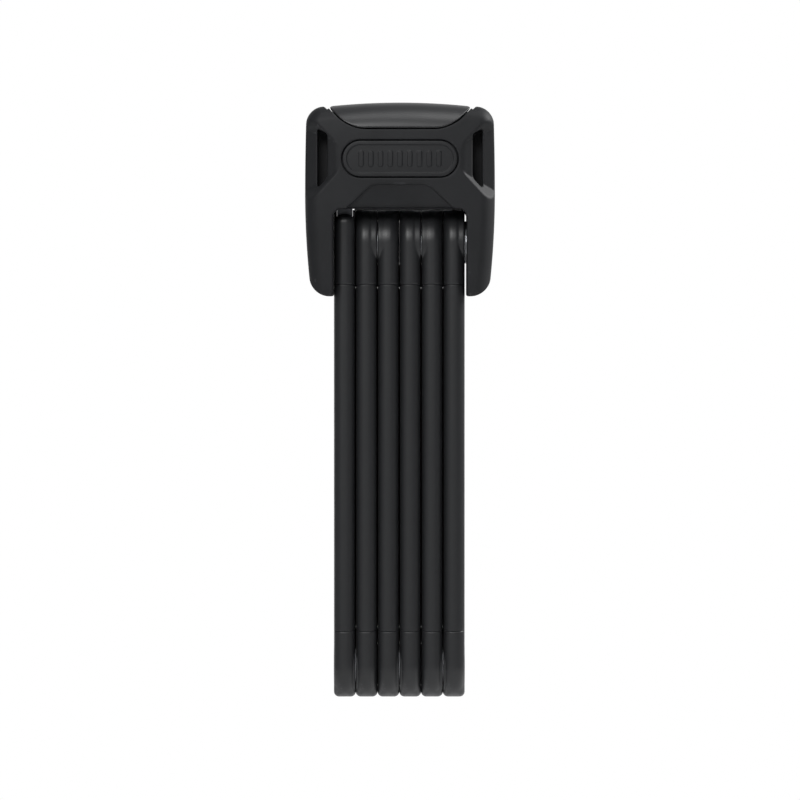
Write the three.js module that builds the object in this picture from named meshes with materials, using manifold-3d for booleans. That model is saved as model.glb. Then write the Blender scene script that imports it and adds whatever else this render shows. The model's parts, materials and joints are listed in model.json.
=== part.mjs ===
// Folding lock: a lock head with two legs, and six steel bars that hinge on each other like a folding rule.
// The first bar is riveted to the head's right leg. The last bar ends in a steel tongue, which swings into
// a pocket in the head, where a bolt driven by the key cylinder holds it.
//
// Millimetres. +Z is up and the front faces -Y.
// The origin is under the middle of the folded bars' lower ends.
import * as THREE from "three";
import { ConvexGeometry } from "three/addons/geometries/ConvexGeometry.js";
import { mergeVertices } from "three/addons/utils/BufferGeometryUtils.js";
import Module from "manifold-3d";

const wasm = await Module();
wasm.setup();

// ---------------------------------------------------------------- driving dimensions
const BAR_COUNT = 6;
const PIVOT_SPACING = 140; // between a bar's two hinge axes
const BAR_WIDTH = 21.6;
const BAR_THICKNESS = 6.9;
const BAR_GAP = 0.33; // free space between neighbouring bars
const BAR_EDGE = 2.4; // rounding of a bar's long edges
const CORE_THICKNESS = 5;
const CORE_WIDTH = 17.6;
const CORE_CLEARANCE = 0.15; // between a steel core and the plastic round it
const HUB_RADIUS = 10; // flat round seat where two bars turn on each other
const SEAM_GAP = 0.3; // joint line between a sleeve and an end cover
const SEAM_FROM_LOWER_PIVOT = 10.9;
const SEAM_FROM_UPPER_PIVOT = 13.5;
const SEAM_BOW = 1.5; // how far a seam bows away from its pivot

const RIVET_RADIUS = 4;
const RIVET_HEAD_RADIUS = 7;
const RIVET_HEAD_SINK = 0.07; // below the face of the plastic round it
const RIVET_CLEARANCE = 0.1; // round the shank
const HEAD_HOLE_CLEARANCE = 0.3; // round rivet heads and washers
const FACE_CLEARANCE = 0.05; // between flat faces that turn on each other

const TONGUE_WIDTH = 12;
const TONGUE_REACH = 21.7; // above the upper pivots
const SHOULDER_REACH = 9.4; // top of the last bar's square end cover, above the upper pivots
const SHOULDER_CORNER = 3;
const TONGUE_CLEARANCE = 0.5;

const HINGE_SIDE_GAP = 0.75; // first bar to the right leg
const TONGUE_SIDE_GAP = 0.3; // last bar to the left leg
const LEG_WIDTH = 9.55;
const LEG_DROP = 17.9; // legs reach this far below the upper pivots
const LIP_CLEARANCE = 0.5; // head's lip above the swinging bar ends
const LIP_CORNER = 1.6; // 45 degree corner between a leg and the lip
const HEAD_RISE = 34.9; // top of the head above the lip
const HEAD_DEPTH = 36;
const COVER_WALL = 4; // cover in front of and behind the steel frame, at the middle
const COVER_CLEARANCE = 0.3; // round the frame, the cap and the badge

const FRAME_FLOOR = 0.5; // underside of the steel frame above the lip
const FRAME_RISE = 25.5; // top of the steel frame above the lip
const LEG_PLATE = 5;
const LEG_INNER_WALL = 1.25; // cover wall between a leg plate and the bars
const BLOCK_SIDE = 0.35; // frame block's side beyond the legs' inner faces

const BOLT_THICKNESS = 5;
const BOLT_WIDTH = 11;
const BOLT_NOSE_WIDTH = 6.6;
const BOLT_CLEARANCE = 0.3;
const BOLT_PLATE_THICKNESS = 2;
const CRANK_RADIUS = 4; // cam pin's distance from the key axis
const CRANK_START = Math.PI / 4; // cam pin's angle with the bolt drawn back
const CRANK_PIN_RADIUS = 1.4;

const HOUSING_RADIUS = 8.5;
const ROTOR_RADIUS = 6.3;
const ROTOR_WALL = 1;
const DISC_COUNT = 5;
const DISC_THICKNESS = 1.8;
const DISC_PITCH = 2.3;
const KEYWAY = { length: 7, width: 2.6 };
const SIDEBAR_WIDTH = 1.4;
const SIDEBAR_DEPTH = 1.95;
const GROOVE_DEPTH = 0.7;
const NOSE_GUIDE = 2.6;
const PIN_RADIUS = 1.2;

const CAP_HALF_BASE = 14.5;
const CAP_HALF_TOP = 23.6;
const CAP_HEIGHT = 8.8;
const SHUTTER = { length: 13, width: 9, grip: 6.4, flange: 1, height: 2.2 };
const SHUTTER_TRAVEL = 9;
const SHUTTER_CLEARANCE = 0.25;

const BADGE_HALF_WIDTH = 18.9;
const BADGE_HALF_HEIGHT = 5.9;
const BADGE_THICKNESS = 1.8;
const BADGE_ABOVE_LIP = 16.1;

const RIDGE_HALF_WIDTH = 20.9; // flat middle of the head between the two thumb hollows
const SLOT_INNER = 24;
const SLOT_OUTER = 27.3;

// ---------------------------------------------------------------- places that follow from them
const endRadius = BAR_WIDTH / 2;
const lowerPivotZ = endRadius;
const upperPivotZ = lowerPivotZ + PIVOT_SPACING;
const barPitch = BAR_THICKNESS + BAR_GAP;
const stackWidth = (BAR_COUNT - 1) * barPitch + BAR_THICKNESS;
const rivetHeadThickness = (BAR_THICKNESS - CORE_THICKNESS) / 2 - FACE_CLEARANCE - RIVET_HEAD_SINK;
const legInnerX = (stackWidth + HINGE_SIDE_GAP + TONGUE_SIDE_GAP) / 2;
const headHalfWidth = legInnerX + LEG_WIDTH;
const lipZ = upperPivotZ + endRadius + LIP_CLEARANCE;
const headTopZ = lipZ + HEAD_RISE;
const legBottomZ = upperPivotZ - LEG_DROP;
const headHalfDepth = HEAD_DEPTH / 2;
const frameHalfDepth = headHalfDepth - COVER_WALL;
const frameFloorZ = lipZ + FRAME_FLOOR;
const frameTopZ = lipZ + FRAME_RISE;
const blockHalfWidth = legInnerX + BLOCK_SIDE;
const plateInnerX = legInnerX + LEG_INNER_WALL;
const plateOuterX = plateInnerX + LEG_PLATE;
const boltFloorZ = frameFloorZ + BOLT_PLATE_THICKNESS + 2 * BOLT_CLEARANCE;
const boltTopZ = boltFloorZ + BOLT_THICKNESS;
const boltMidZ = (boltFloorZ + boltTopZ) / 2;
const camZ = boltTopZ + 2 * BOLT_CLEARANCE;
const camThickness = 2;
const rotorZ = camZ + camThickness + BOLT_CLEARANCE;
const rotorTopZ = frameTopZ + 0.7;
const capBaseZ = frameTopZ + BOLT_CLEARANCE * 2;
const badgeZ = lipZ + BADGE_ABOVE_LIP;
const boltTravel = 2 * CRANK_RADIUS * Math.cos(CRANK_START);
const lastBar = BAR_COUNT;
const barX = (k) => legInnerX - HINGE_SIDE_GAP - BAR_THICKNESS / 2 - (k - 1) * barPitch;

// ---------------------------------------------------------------- finishes
function finish(color, roughness, metalness) {
  return new THREE.MeshStandardMaterial({ color, roughness, metalness });
}
const softPlastic = finish(0x202124, 0.55, 0);
const sleevePlastic = finish(0x232427, 0.5, 0);
const capPlastic = finish(0x2a2b2e, 0.4, 0);
const hardSteel = finish(0x8a8d91, 0.35, 1);
const darkSteel = finish(0x3a3c40, 0.4, 1);
const brass = finish(0xb89a55, 0.35, 1);
const rubber = finish(0x161618, 0.8, 0);

// ---------------------------------------------------------------- solids
// A closed three.js geometry as a solid that can be joined and cut.
function solidOf(geometry) {
  const bare = geometry.index ? geometry.toNonIndexed() : geometry.clone();
  bare.deleteAttribute("normal");
  bare.deleteAttribute("uv");
  const merged = mergeVertices(bare, 1e-4);
  const kept = [];
  const index = merged.index.array;
  for (let i = 0; i < index.length; i += 3) {
    const [a, b, c] = [index[i], index[i + 1], index[i + 2]];
    if (a !== b && b !== c && c !== a) kept.push(a, b, c);
  }
  const mesh = new wasm.Mesh({
    numProp: 3,
    vertProperties: merged.attributes.position.array,
    triVerts: new Uint32Array(kept),
  });
  return new wasm.Manifold(mesh);
}

function geometryOf(solid) {
  const mesh = solid.getMesh();
  const geometry = new THREE.BufferGeometry();
  geometry.setAttribute("position", new THREE.BufferAttribute(new Float32Array(mesh.vertProperties), 3));
  geometry.setIndex(new THREE.BufferAttribute(new Uint32Array(mesh.triVerts), 1));
  geometry.computeVertexNormals();
  return geometry;
}

function piece(name, solid, material) {
  const mesh = new THREE.Mesh(geometryOf(solid), material);
  mesh.name = name;
  return mesh;
}

function basis(...axes) {
  return new THREE.Matrix4().makeBasis(...axes.map((axis) => new THREE.Vector3(...axis)));
}

// An outline drawn in two row axes, extruded along the third. The axes turn in X, Y, Z order.
const ALONG = {
  x: basis([0, 1, 0], [0, 0, 1], [1, 0, 0]),
  y: basis([1, 0, 0], [0, 0, 1], [0, -1, 0]),
  z: new THREE.Matrix4(),
};

function prism(axis, shape, from, to, edge = 0, curveSegments = 8) {
  const geometry = new THREE.ExtrudeGeometry(shape, {
    depth: to - from - 2 * edge,
    bevelEnabled: edge > 0,
    bevelThickness: edge,
    bevelSize: edge,
    bevelOffset: -edge,
    bevelSegments: 2,
    curveSegments,
  });
  geometry.translate(0, 0, edge + (axis === "y" ? -to : from));
  return solidOf(geometry.applyMatrix4(ALONG[axis]));
}

function box(x0, x1, y0, y1, z0, z1) {
  const geometry = new THREE.BoxGeometry(x1 - x0, y1 - y0, z1 - z0);
  return solidOf(geometry.translate((x0 + x1) / 2, (y0 + y1) / 2, (z0 + z1) / 2));
}

// A solid turned about a row axis. The profile is [radius, place along the axis] pairs.
function turned(axis, profile, centre = [0, 0, 0], segments = 20) {
  const points = profile.map(([radius, along]) => new THREE.Vector2(radius, along));
  const geometry = new THREE.LatheGeometry(points, segments);
  if (axis === "x") geometry.rotateZ(-Math.PI / 2);
  if (axis === "z") geometry.rotateX(Math.PI / 2);
  return solidOf(geometry.translate(...centre));
}

function rod(axis, radius, from, to, centre, segments = 20) {
  return turned(axis, [[0, from], [radius, from], [radius, to], [0, to]], centre, segments);
}

function ring(axis, inner, outer, from, to, centre, segments = 20) {
  const profile = [[inner, from], [outer, from], [outer, to], [inner, to], [inner, from]];
  return turned(axis, profile, centre, segments);
}

const hull = (points) => solidOf(new ConvexGeometry(points.map((p) => new THREE.Vector3(...p))));
const mirrorX = (solid) => solid.mirror([1, 0, 0]);
const joined = (first, ...rest) => rest.reduce((all, one) => all.add(one), first);
const cut = (first, ...rest) => rest.reduce((all, one) => all.subtract(one), first);

// ---------------------------------------------------------------- bars
// A bar's side outline in Y and Z: a half round about each pivot.
// The last bar has a square upper end instead.
function barOutline(radius, squareTop) {
  const shape = new THREE.Shape();
  shape.absarc(0, lowerPivotZ, radius, Math.PI, 2 * Math.PI, false);
  if (squareTop) {
    const top = upperPivotZ + SHOULDER_REACH;
    shape.absarc(radius - SHOULDER_CORNER, top - SHOULDER_CORNER, SHOULDER_CORNER, 0, Math.PI / 2, false);
    const corner = SHOULDER_CORNER;
    shape.absarc(corner - radius, top - corner, corner, Math.PI / 2, Math.PI, false);
  } else {
    shape.absarc(0, upperPivotZ, radius, 0, Math.PI, false);
  }
  shape.closePath();
  return shape;
}

// The last bar's steel core narrows above its shoulders into the tongue.
function tongueOutline(radius, halfTongue, top) {
  const shape = new THREE.Shape();
  const shoulderZ = upperPivotZ + SHOULDER_REACH / 2 + radius - CORE_WIDTH / 2;
  shape.absarc(0, lowerPivotZ, radius, Math.PI, 2 * Math.PI, false);
  shape.lineTo(radius, shoulderZ);
  shape.lineTo(halfTongue, shoulderZ);
  shape.lineTo(halfTongue, top - 1.5);
  shape.lineTo(halfTongue - 1.5, top);
  shape.lineTo(1.5 - halfTongue, top);
  shape.lineTo(-halfTongue, top - 1.5);
  shape.lineTo(-halfTongue, shoulderZ);
  shape.lineTo(-radius, shoulderZ);
  shape.closePath();
  return shape;
}

// The band of a bar between two heights. Each of its two ends bows by its own amount.
function bandOutline(lowZ, lowBow, highZ, highBow) {
  const side = endRadius + 1;
  const shape = new THREE.Shape();
  shape.moveTo(-side, lowZ);
  shape.quadraticCurveTo(0, lowZ + 2 * lowBow, side, lowZ);
  shape.lineTo(side, highZ);
  shape.quadraticCurveTo(0, highZ + 2 * highBow, -side, highZ);
  shape.closePath();
  return shape;
}

// Odd bars meet the next bar at their lower end, on their -X side. Even bars are mirrored.
const hubSide = (k, end) => ((k % 2 === 1) === (end === "lower") ? -1 : 1);

function barForm(k) {
  const x = barX(k);
  const half = BAR_THICKNESS / 2;
  const plate = prism("x", barOutline(endRadius, k === lastBar), x - half, x + half, BAR_EDGE, 7);
  const hubAt = (end, z) => {
    const side = hubSide(k, end);
    return rod("x", HUB_RADIUS, Math.min(0, side * half), Math.max(0, side * half), [x, 0, z], 24);
  };
  const withLower = plate.add(hubAt("lower", lowerPivotZ));
  return k === lastBar ? withLower : withLower.add(hubAt("upper", upperPivotZ));
}

function barCore(k, spread = 0) {
  const half = CORE_THICKNESS / 2 + spread;
  const radius = CORE_WIDTH / 2 + spread;
  const outline =
    k === lastBar
      ? tongueOutline(radius, TONGUE_WIDTH / 2 + spread, upperPivotZ + TONGUE_REACH + spread)
      : barOutline(radius, false);
  return prism("x", outline, barX(k) - half, barX(k) + half, 0, 8);
}

const pivotBore = (k, radius, z) => rod("x", radius, -BAR_THICKNESS, BAR_THICKNESS, [barX(k), 0, z]);

function makeBar(k) {
  const form = barForm(k);
  const pocket = barCore(k, CORE_CLEARANCE);
  const lowSeam = lowerPivotZ + SEAM_FROM_LOWER_PIVOT;
  const highSeam = upperPivotZ - SEAM_FROM_UPPER_PIVOT;
  const headHole = RIVET_HEAD_RADIUS + HEAD_HOLE_CLEARANCE;
  const x0 = barX(k) - BAR_THICKNESS;
  const x1 = barX(k) + BAR_THICKNESS;
  const band = (...ends) => form.intersect(prism("x", bandOutline(...ends), x0, x1, 0, 6)).subtract(pocket);

  const holes = [pivotBore(k, RIVET_RADIUS + RIVET_CLEARANCE, lowerPivotZ)];
  if (k !== lastBar) holes.push(pivotBore(k, RIVET_RADIUS + RIVET_CLEARANCE, upperPivotZ));
  if (k === lastBar) holes.push(boltWindow());
  const core = cut(barCore(k), ...holes);
  const sleeve = band(lowSeam, SEAM_BOW, highSeam, -SEAM_BOW);
  const lower = band(-1, 0, lowSeam - SEAM_GAP, SEAM_BOW).subtract(pivotBore(k, headHole, lowerPivotZ));
  const upperBlank = band(highSeam + SEAM_GAP, -SEAM_BOW, upperPivotZ + endRadius + 1, 0);
  const upper = k === lastBar ? upperBlank : upperBlank.subtract(pivotBore(k, headHole, upperPivotZ));
  return [
    piece(`bar_${k}_core`, core, hardSteel),
    piece(`bar_${k}_sleeve`, sleeve, sleevePlastic),
    piece(`bar_${k}_lower_cover`, lower, sleevePlastic),
    piece(`bar_${k}_upper_cover`, upper, sleevePlastic),
  ];
}

// The hole in the tongue that the bolt's nose enters.
function boltWindow() {
  const halfWidth = BOLT_NOSE_WIDTH / 2 + TONGUE_CLEARANCE;
  const x = barX(lastBar);
  const half = CORE_THICKNESS;
  const low = boltFloorZ - TONGUE_CLEARANCE;
  return box(x - half, x + half, -halfWidth, halfWidth, low, boltTopZ + TONGUE_CLEARANCE);
}

// ---------------------------------------------------------------- hinges
// A rivet through two plates: a flush head outside each, and a shank between.
function rivet(leftPlate, rightPlate, z) {
  const from = leftPlate - FACE_CLEARANCE;
  const to = rightPlate + FACE_CLEARANCE;
  const profile = [
    [0, from - rivetHeadThickness],
    [RIVET_HEAD_RADIUS, from - rivetHeadThickness],
    [RIVET_HEAD_RADIUS, from],
    [RIVET_RADIUS, from],
    [RIVET_RADIUS, to],
    [RIVET_HEAD_RADIUS, to],
    [RIVET_HEAD_RADIUS, to + rivetHeadThickness],
    [0, to + rivetHeadThickness],
  ];
  return turned("x", profile, [0, 0, z]);
}

function washer(from, to, z) {
  const inner = RIVET_RADIUS + RIVET_CLEARANCE;
  return ring("x", inner, RIVET_HEAD_RADIUS, from + FACE_CLEARANCE, to - FACE_CLEARANCE, [0, 0, z]);
}

// The hinge that carries bar k: its other plate is bar k - 1, or the right leg's plate for the first bar.
function makeHinge(k) {
  const half = CORE_THICKNESS / 2;
  const onBody = k === 1;
  const z = k % 2 === 0 ? lowerPivotZ : upperPivotZ;
  const gapFrom = barX(k) + half;
  const gapTo = onBody ? plateInnerX : barX(k - 1) - half;
  const rightPlate = onBody ? plateOuterX : barX(k - 1) + half;
  const label = onBody ? "body" : `bar_${k - 1}`;
  return [
    piece(`${label}_rivet`, rivet(barX(k) - half, rightPlate, z), darkSteel),
    piece(`${label}_washer`, washer(gapFrom, gapTo, z), hardSteel),
  ];
}

// ---------------------------------------------------------------- head: outer form
// Front view of the head in X and Z: rounded shoulders, slightly barrelled sides and two legs.
function headFront() {
  const w = headHalfWidth;
  const shape = new THREE.Shape();
  shape.moveTo(-w + 5.6, legBottomZ);
  shape.lineTo(w - 5.6, legBottomZ);
  shape.quadraticCurveTo(w - 2, legBottomZ + 0.4, w - 1.4, legBottomZ + 8);
  shape.quadraticCurveTo(w + 0.3, lipZ + 8, w - 0.5, headTopZ - 9);
  shape.quadraticCurveTo(w - 0.9, headTopZ - 2.2, w - 7, headTopZ - 1.6);
  shape.quadraticCurveTo(0, headTopZ + 1.6, -w + 7, headTopZ - 1.6);
  shape.quadraticCurveTo(-w + 0.9, headTopZ - 2.2, -w + 0.5, headTopZ - 9);
  shape.quadraticCurveTo(-w - 0.3, lipZ + 8, -w + 1.4, legBottomZ + 8);
  shape.quadraticCurveTo(-w + 2, legBottomZ + 0.4, -w + 5.6, legBottomZ);
  return shape;
}

// Side view in Y and Z: deepest in the middle, thinner at the legs' ends, with a broad round top.
function headSide() {
  const d = headHalfDepth;
  const shape = new THREE.Shape();
  shape.moveTo(-d + 4.6, legBottomZ);
  shape.lineTo(d - 4.6, legBottomZ);
  shape.quadraticCurveTo(d - 2.3, legBottomZ, d - 2.1, legBottomZ + 2.6);
  shape.quadraticCurveTo(d + 0.2, lipZ + 6, d - 0.3, headTopZ - 9);
  shape.quadraticCurveTo(d - 1.2, headTopZ, d - 10, headTopZ);
  shape.lineTo(-d + 10, headTopZ);
  shape.quadraticCurveTo(-d + 1.2, headTopZ, -d + 0.3, headTopZ - 9);
  shape.quadraticCurveTo(-d - 0.2, lipZ + 6, -d + 2.1, legBottomZ + 2.6);
  shape.quadraticCurveTo(-d + 2.3, legBottomZ, -d + 4.6, legBottomZ);
  return shape;
}

// Plan view in X and Y: crowned front and back, rounded sides.
function headPlan() {
  const [w, d] = [headHalfWidth, headHalfDepth];
  const quarter = (sx, sy) => [sx * w, sy * (d - 10), sx * w, sy * (d - 2), sx * (w - 7.5), sy * (d - 1.4)];
  const shape = new THREE.Shape();
  const [ax, ay, , , cx, cy] = quarter(1, -1);
  shape.moveTo(-cx, cy);
  shape.quadraticCurveTo(0, cy - 2.6, cx, cy);
  shape.quadraticCurveTo(w, -(d - 2), ax, ay);
  shape.lineTo(ax, -ay);
  shape.quadraticCurveTo(w, d - 2, cx, -cy);
  shape.quadraticCurveTo(0, -cy + 2.6, -cx, -cy);
  shape.quadraticCurveTo(-w, d - 2, -ax, -ay);
  shape.lineTo(-ax, ay);
  shape.quadraticCurveTo(-w, -(d - 2), -cx, cy);
  return shape;
}

function headForm() {
  const [w, d] = [headHalfWidth + 1, headHalfDepth + 1];
  const front = prism("y", headFront(), -d, d, 0, 6);
  const side = prism("x", headSide(), -w, w, 0, 6);
  const plan = prism("z", headPlan(), legBottomZ - 1, headTopZ + 1, 0, 6);
  return front.intersect(side).intersect(plan);
}

// The bay between the legs, where the folded bars lie. It runs right through from front to back.
function barBay() {
  const x = legInnerX;
  const shape = new THREE.Shape();
  shape.moveTo(-x, legBottomZ - 2);
  shape.lineTo(x, legBottomZ - 2);
  shape.lineTo(x, lipZ - LIP_CORNER);
  shape.lineTo(x - LIP_CORNER, lipZ);
  shape.lineTo(-x + LIP_CORNER, lipZ);
  shape.lineTo(-x, lipZ - LIP_CORNER);
  shape.closePath();
  return prism("y", shape, -HEAD_DEPTH, HEAD_DEPTH);
}

// The thumb hollow on the left front edge, with the slit behind its inner slope.
function thumbHollow() {
  const front = -headHalfDepth - 6;
  const face = -headHalfDepth + 0.6;
  const floor = -headHalfDepth + 4.6;
  const side = -headHalfWidth - 4;
  const [low, high] = [lipZ + 1.4, headTopZ - 5.4];
  const points = [];
  for (const y of [front, face]) {
    points.push([-RIDGE_HALF_WIDTH, y, lipZ + 12], [-RIDGE_HALF_WIDTH, y, headTopZ - 14]);
    points.push([side, y, low - 3], [side, y, high + 3]);
  }
  points.push([side, floor + 5, low + 8], [side, floor + 5, high - 5]);
  points.push([-SLOT_INNER, floor - 1.6, lipZ + 10], [-SLOT_INNER, floor - 1.6, headTopZ - 13]);
  return hull(points);
}

function thumbSlit() {
  const shape = new THREE.Shape();
  const [low, high] = [lipZ + 6.5, headTopZ - 10.8];
  shape.moveTo(-SLOT_OUTER, high);
  shape.lineTo(-SLOT_OUTER, low);
  shape.lineTo(-SLOT_OUTER + 0.8, low);
  shape.lineTo(-SLOT_INNER, low + 6.5);
  shape.lineTo(-SLOT_INNER, high - 1.5);
  shape.lineTo(-SLOT_INNER - 1.5, high);
  shape.closePath();
  return prism("y", shape, -headHalfDepth - 6, -5);
}

// The slanted panel above the lip.
function chinPanel() {
  const front = -headHalfDepth - 4;
  const topY = -headHalfDepth + 0.3;
  const lipY = -headHalfDepth + 2.8;
  const points = [];
  for (const side of [-1, 1]) {
    points.push([side * 9.2, topY, lipZ + 7.4], [side * 9.2, front, lipZ + 7.4]);
    points.push([side * 19, lipY, lipZ - 1.4], [side * 19, front, lipZ - 1.4]);
  }
  return hull(points);
}

// What the front and the back of the head have in common to take away: both sides' hollows and the chin.
function frontRelief() {
  const left = joined(thumbHollow(), thumbSlit());
  return joined(left, mirrorX(left), chinPanel());
}

// The lens-shaped cap across the top of the head, wider by spread on every side.
function capRegion(spread) {
  const shape = new THREE.Shape();
  const low = headTopZ - CAP_HEIGHT - spread;
  const wide = headTopZ + 3;
  const slope = (CAP_HALF_TOP - CAP_HALF_BASE) / (CAP_HEIGHT - 1.2);
  const topX = CAP_HALF_BASE + slope * (wide - low) + spread;
  shape.moveTo(-CAP_HALF_BASE - spread, low);
  shape.lineTo(CAP_HALF_BASE + spread, low);
  shape.lineTo(topX, wide);
  shape.lineTo(-topX, wide);
  shape.closePath();
  return prism("y", shape, -HEAD_DEPTH, HEAD_DEPTH);
}

function stadiumY(halfWidth, halfHeight, z, from, to) {
  const shape = new THREE.Shape();
  const x = halfWidth - halfHeight;
  shape.absarc(x, z, halfHeight, -Math.PI / 2, Math.PI / 2, false);
  shape.absarc(-x, z, halfHeight, Math.PI / 2, (3 * Math.PI) / 2, false);
  shape.closePath();
  return prism("y", shape, from, to, 0, 8);
}

// ---------------------------------------------------------------- head: steel frame and what it holds
// Swept space of the last bar's square end and tongue as they swing out of the head to the back.
function tonguePocket() {
  const x = barX(lastBar);
  const half = BAR_THICKNESS / 2 + TONGUE_CLEARANCE;
  const tongueHalf = CORE_THICKNESS / 2 + TONGUE_CLEARANCE;
  const corner = SHOULDER_CORNER;
  const shoulder = Math.hypot(endRadius - corner, SHOULDER_REACH - corner) + corner;
  const reach = Math.hypot(TONGUE_WIDTH / 2, TONGUE_REACH) + TONGUE_CLEARANCE;
  const front = -TONGUE_WIDTH / 2 - TONGUE_CLEARANCE * 1.5;
  const endSweep = rod("x", shoulder + TONGUE_CLEARANCE, -half, half, [x, 0, upperPivotZ], 32);
  const mouth = box(x - tongueHalf, x + tongueHalf, front, HEAD_DEPTH, upperPivotZ, upperPivotZ + reach);
  return endSweep.add(mouth);
}

// Space of the bolt, its spring and its cover plate, open below.
function boltChannel() {
  const left = barX(lastBar);
  const half = BOLT_WIDTH / 2 + BOLT_CLEARANCE;
  const nose = BOLT_NOSE_WIDTH / 2 + BOLT_CLEARANCE;
  const main = box(boltEnds.left, springSeatX, -half, half, frameFloorZ - 1, boltTopZ + BOLT_CLEARANCE);
  const channelZ = { low: boltFloorZ - BOLT_CLEARANCE, high: boltTopZ + BOLT_CLEARANCE };
  const forNose = box(left, boltEnds.left + 1, -nose, nose, channelZ.low, channelZ.high);
  return main.add(forNose);
}

const boltEnds = {
  // the channel's left end, past the nose guide
  left: barX(lastBar) + CORE_THICKNESS / 2 + TONGUE_CLEARANCE + NOSE_GUIDE,
  right: CRANK_RADIUS + CRANK_PIN_RADIUS + 4.6, // bolt's right end when drawn back
};
const springLength = 7;
const springSeatX = boltEnds.right + springLength;

function frameBlank(spread = 0) {
  const d = frameHalfDepth + spread;
  const legHalf = CORE_WIDTH / 2 + 1 + spread;
  const shoulderZ = lipZ + 5.7;
  const blockX = blockHalfWidth + spread;
  const plateX = plateOuterX + spread;
  const block = box(-blockX, blockX, -d, d, frameFloorZ - spread, frameTopZ + spread);
  const shoulderFloor = lipZ - 0.2 - spread;
  const shoulders = box(-plateX, plateX, -legHalf, legHalf, shoulderFloor, shoulderZ + spread);
  const leg = new THREE.Shape();
  leg.absarc(0, upperPivotZ, legHalf, Math.PI, 2 * Math.PI, false);
  leg.lineTo(legHalf, shoulderZ);
  leg.lineTo(-legHalf, shoulderZ);
  leg.closePath();
  const rightLeg = prism("x", leg, plateInnerX - spread, plateOuterX + spread, 0, 8);
  return joined(block, shoulders, rightLeg, mirrorX(rightLeg));
}

function makeFrame() {
  const boreRadius = HOUSING_RADIUS + BOLT_CLEARANCE / 2;
  const bore = rod("z", boreRadius, camZ - BOLT_CLEARANCE, frameTopZ + 1, [0, 0, 0], 32);
  const belowBay = box(-legInnerX, legInnerX, -HEAD_DEPTH, HEAD_DEPTH, legBottomZ, frameFloorZ);
  const holeRadius = RIVET_RADIUS + RIVET_CLEARANCE;
  const rivetHole = rod("x", holeRadius, plateInnerX - 1, plateOuterX + 1, [0, 0, upperPivotZ]);
  const pinHole = rod("y", PIN_RADIUS + 0.1, -HEAD_DEPTH, HEAD_DEPTH, [pinPlace.x, 0, pinPlace.z], 12);
  const drillHole = (y) => rod("z", PIN_RADIUS + 0.1, drillPinZ[0] - 0.2, frameTopZ + 1, [0, y, 0], 12);
  const round = [bore, rivetHole, pinHole, ...drillPinPlaces.map(drillHole)];
  const frame = cut(frameBlank(), belowBay, boltChannel(), tonguePocket(), ...round);
  return piece("lock_frame", frame, darkSteel);
}

const pinPlace = { x: HOUSING_RADIUS + 0.4, z: rotorZ + 9 };
const drillPinY = (HOUSING_RADIUS + frameHalfDepth) / 2;
const drillPinPlaces = [-drillPinY, drillPinY];
const drillPinZ = [frameTopZ - 10, frameTopZ - 0.2];

function makeBolt() {
  const tip = barX(lastBar) + CORE_THICKNESS / 2 + TONGUE_CLEARANCE + 0.3;
  const half = BOLT_WIDTH / 2;
  const nose = BOLT_NOSE_WIDTH / 2;
  const crankX = CRANK_RADIUS * Math.cos(CRANK_START);
  const slotHalf = CRANK_PIN_RADIUS + BOLT_CLEARANCE;
  const shoulder = boltEnds.left + boltTravel + BOLT_CLEARANCE;
  const body = box(shoulder, boltEnds.right, -half, half, boltFloorZ, boltTopZ);
  const head = box(tip, shoulder + 1, -nose, nose, boltFloorZ, boltTopZ);
  const slot = box(crankX - slotHalf, crankX + slotHalf, 0, half + 1, boltFloorZ - 1, boltTopZ + 1);
  return piece("locking_bolt", cut(body.add(head), slot), hardSteel);
}

class Coil extends THREE.Curve {
  constructor(radius, turns, from, to, z) {
    super();
    Object.assign(this, { radius, turns, from, to, z });
  }
  getPoint(t, target = new THREE.Vector3()) {
    const a = 2 * Math.PI * this.turns * t;
    const x = this.from + (this.to - this.from) * t;
    return target.set(x, this.radius * Math.cos(a), this.z + this.radius * Math.sin(a));
  }
}

function makeSpring() {
  const wire = 0.35;
  const section = new THREE.Shape().absarc(0, 0, wire, 0, 2 * Math.PI, false);
  const path = new Coil(1.8, 4, boltEnds.right + wire + 0.1, springSeatX - wire - 0.1, boltMidZ);
  const sweep = { extrudePath: path, steps: 32, curveSegments: 3, bevelEnabled: false };
  const geometry = new THREE.ExtrudeGeometry(section, sweep);
  return piece("bolt_spring", solidOf(geometry), hardSteel);
}

function makeBoltPlate() {
  const half = BOLT_WIDTH / 2 + BOLT_CLEARANCE / 2;
  const top = frameFloorZ + BOLT_PLATE_THICKNESS;
  const plate = box(boltEnds.left + 0.1, springSeatX - 0.1, -half, half, frameFloorZ, top);
  return piece("bolt_cover_plate", plate, hardSteel);
}

// ---------------------------------------------------------------- key cylinder
function makeHousing() {
  const top = rotorTopZ - 0.4;
  const bore = ROTOR_RADIUS + 0.15;
  const sleeve = ring("z", bore, HOUSING_RADIUS, camZ - 0.1, top, [0, 0, 0], 32);
  const half = SIDEBAR_WIDTH / 2 + 0.2;
  const groove = box(-half, half, -bore - GROOVE_DEPTH, -bore + 1, rotorZ, top - 1.5);
  const pinNotch = rod("y", PIN_RADIUS + 0.1, -HEAD_DEPTH, HEAD_DEPTH, [pinPlace.x, 0, pinPlace.z], 12);
  return piece("cylinder_housing", cut(sleeve, groove, pinNotch), brass);
}

function keywayBox(from, to, spread = 0) {
  const [l, w] = [KEYWAY.length / 2 + spread, KEYWAY.width / 2 + spread];
  return box(-l, l, -w, w, from, to);
}

const sidebarSlot = { low: rotorZ + 1.6, high: rotorZ + 1.6 + DISC_COUNT * DISC_PITCH };
// The sidebar is down in the discs' notches, as with the right key in, so that the rotor can turn.
const sidebarY = { outer: ROTOR_RADIUS - 0.05, inner: ROTOR_RADIUS - 0.05 - SIDEBAR_DEPTH };

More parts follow.
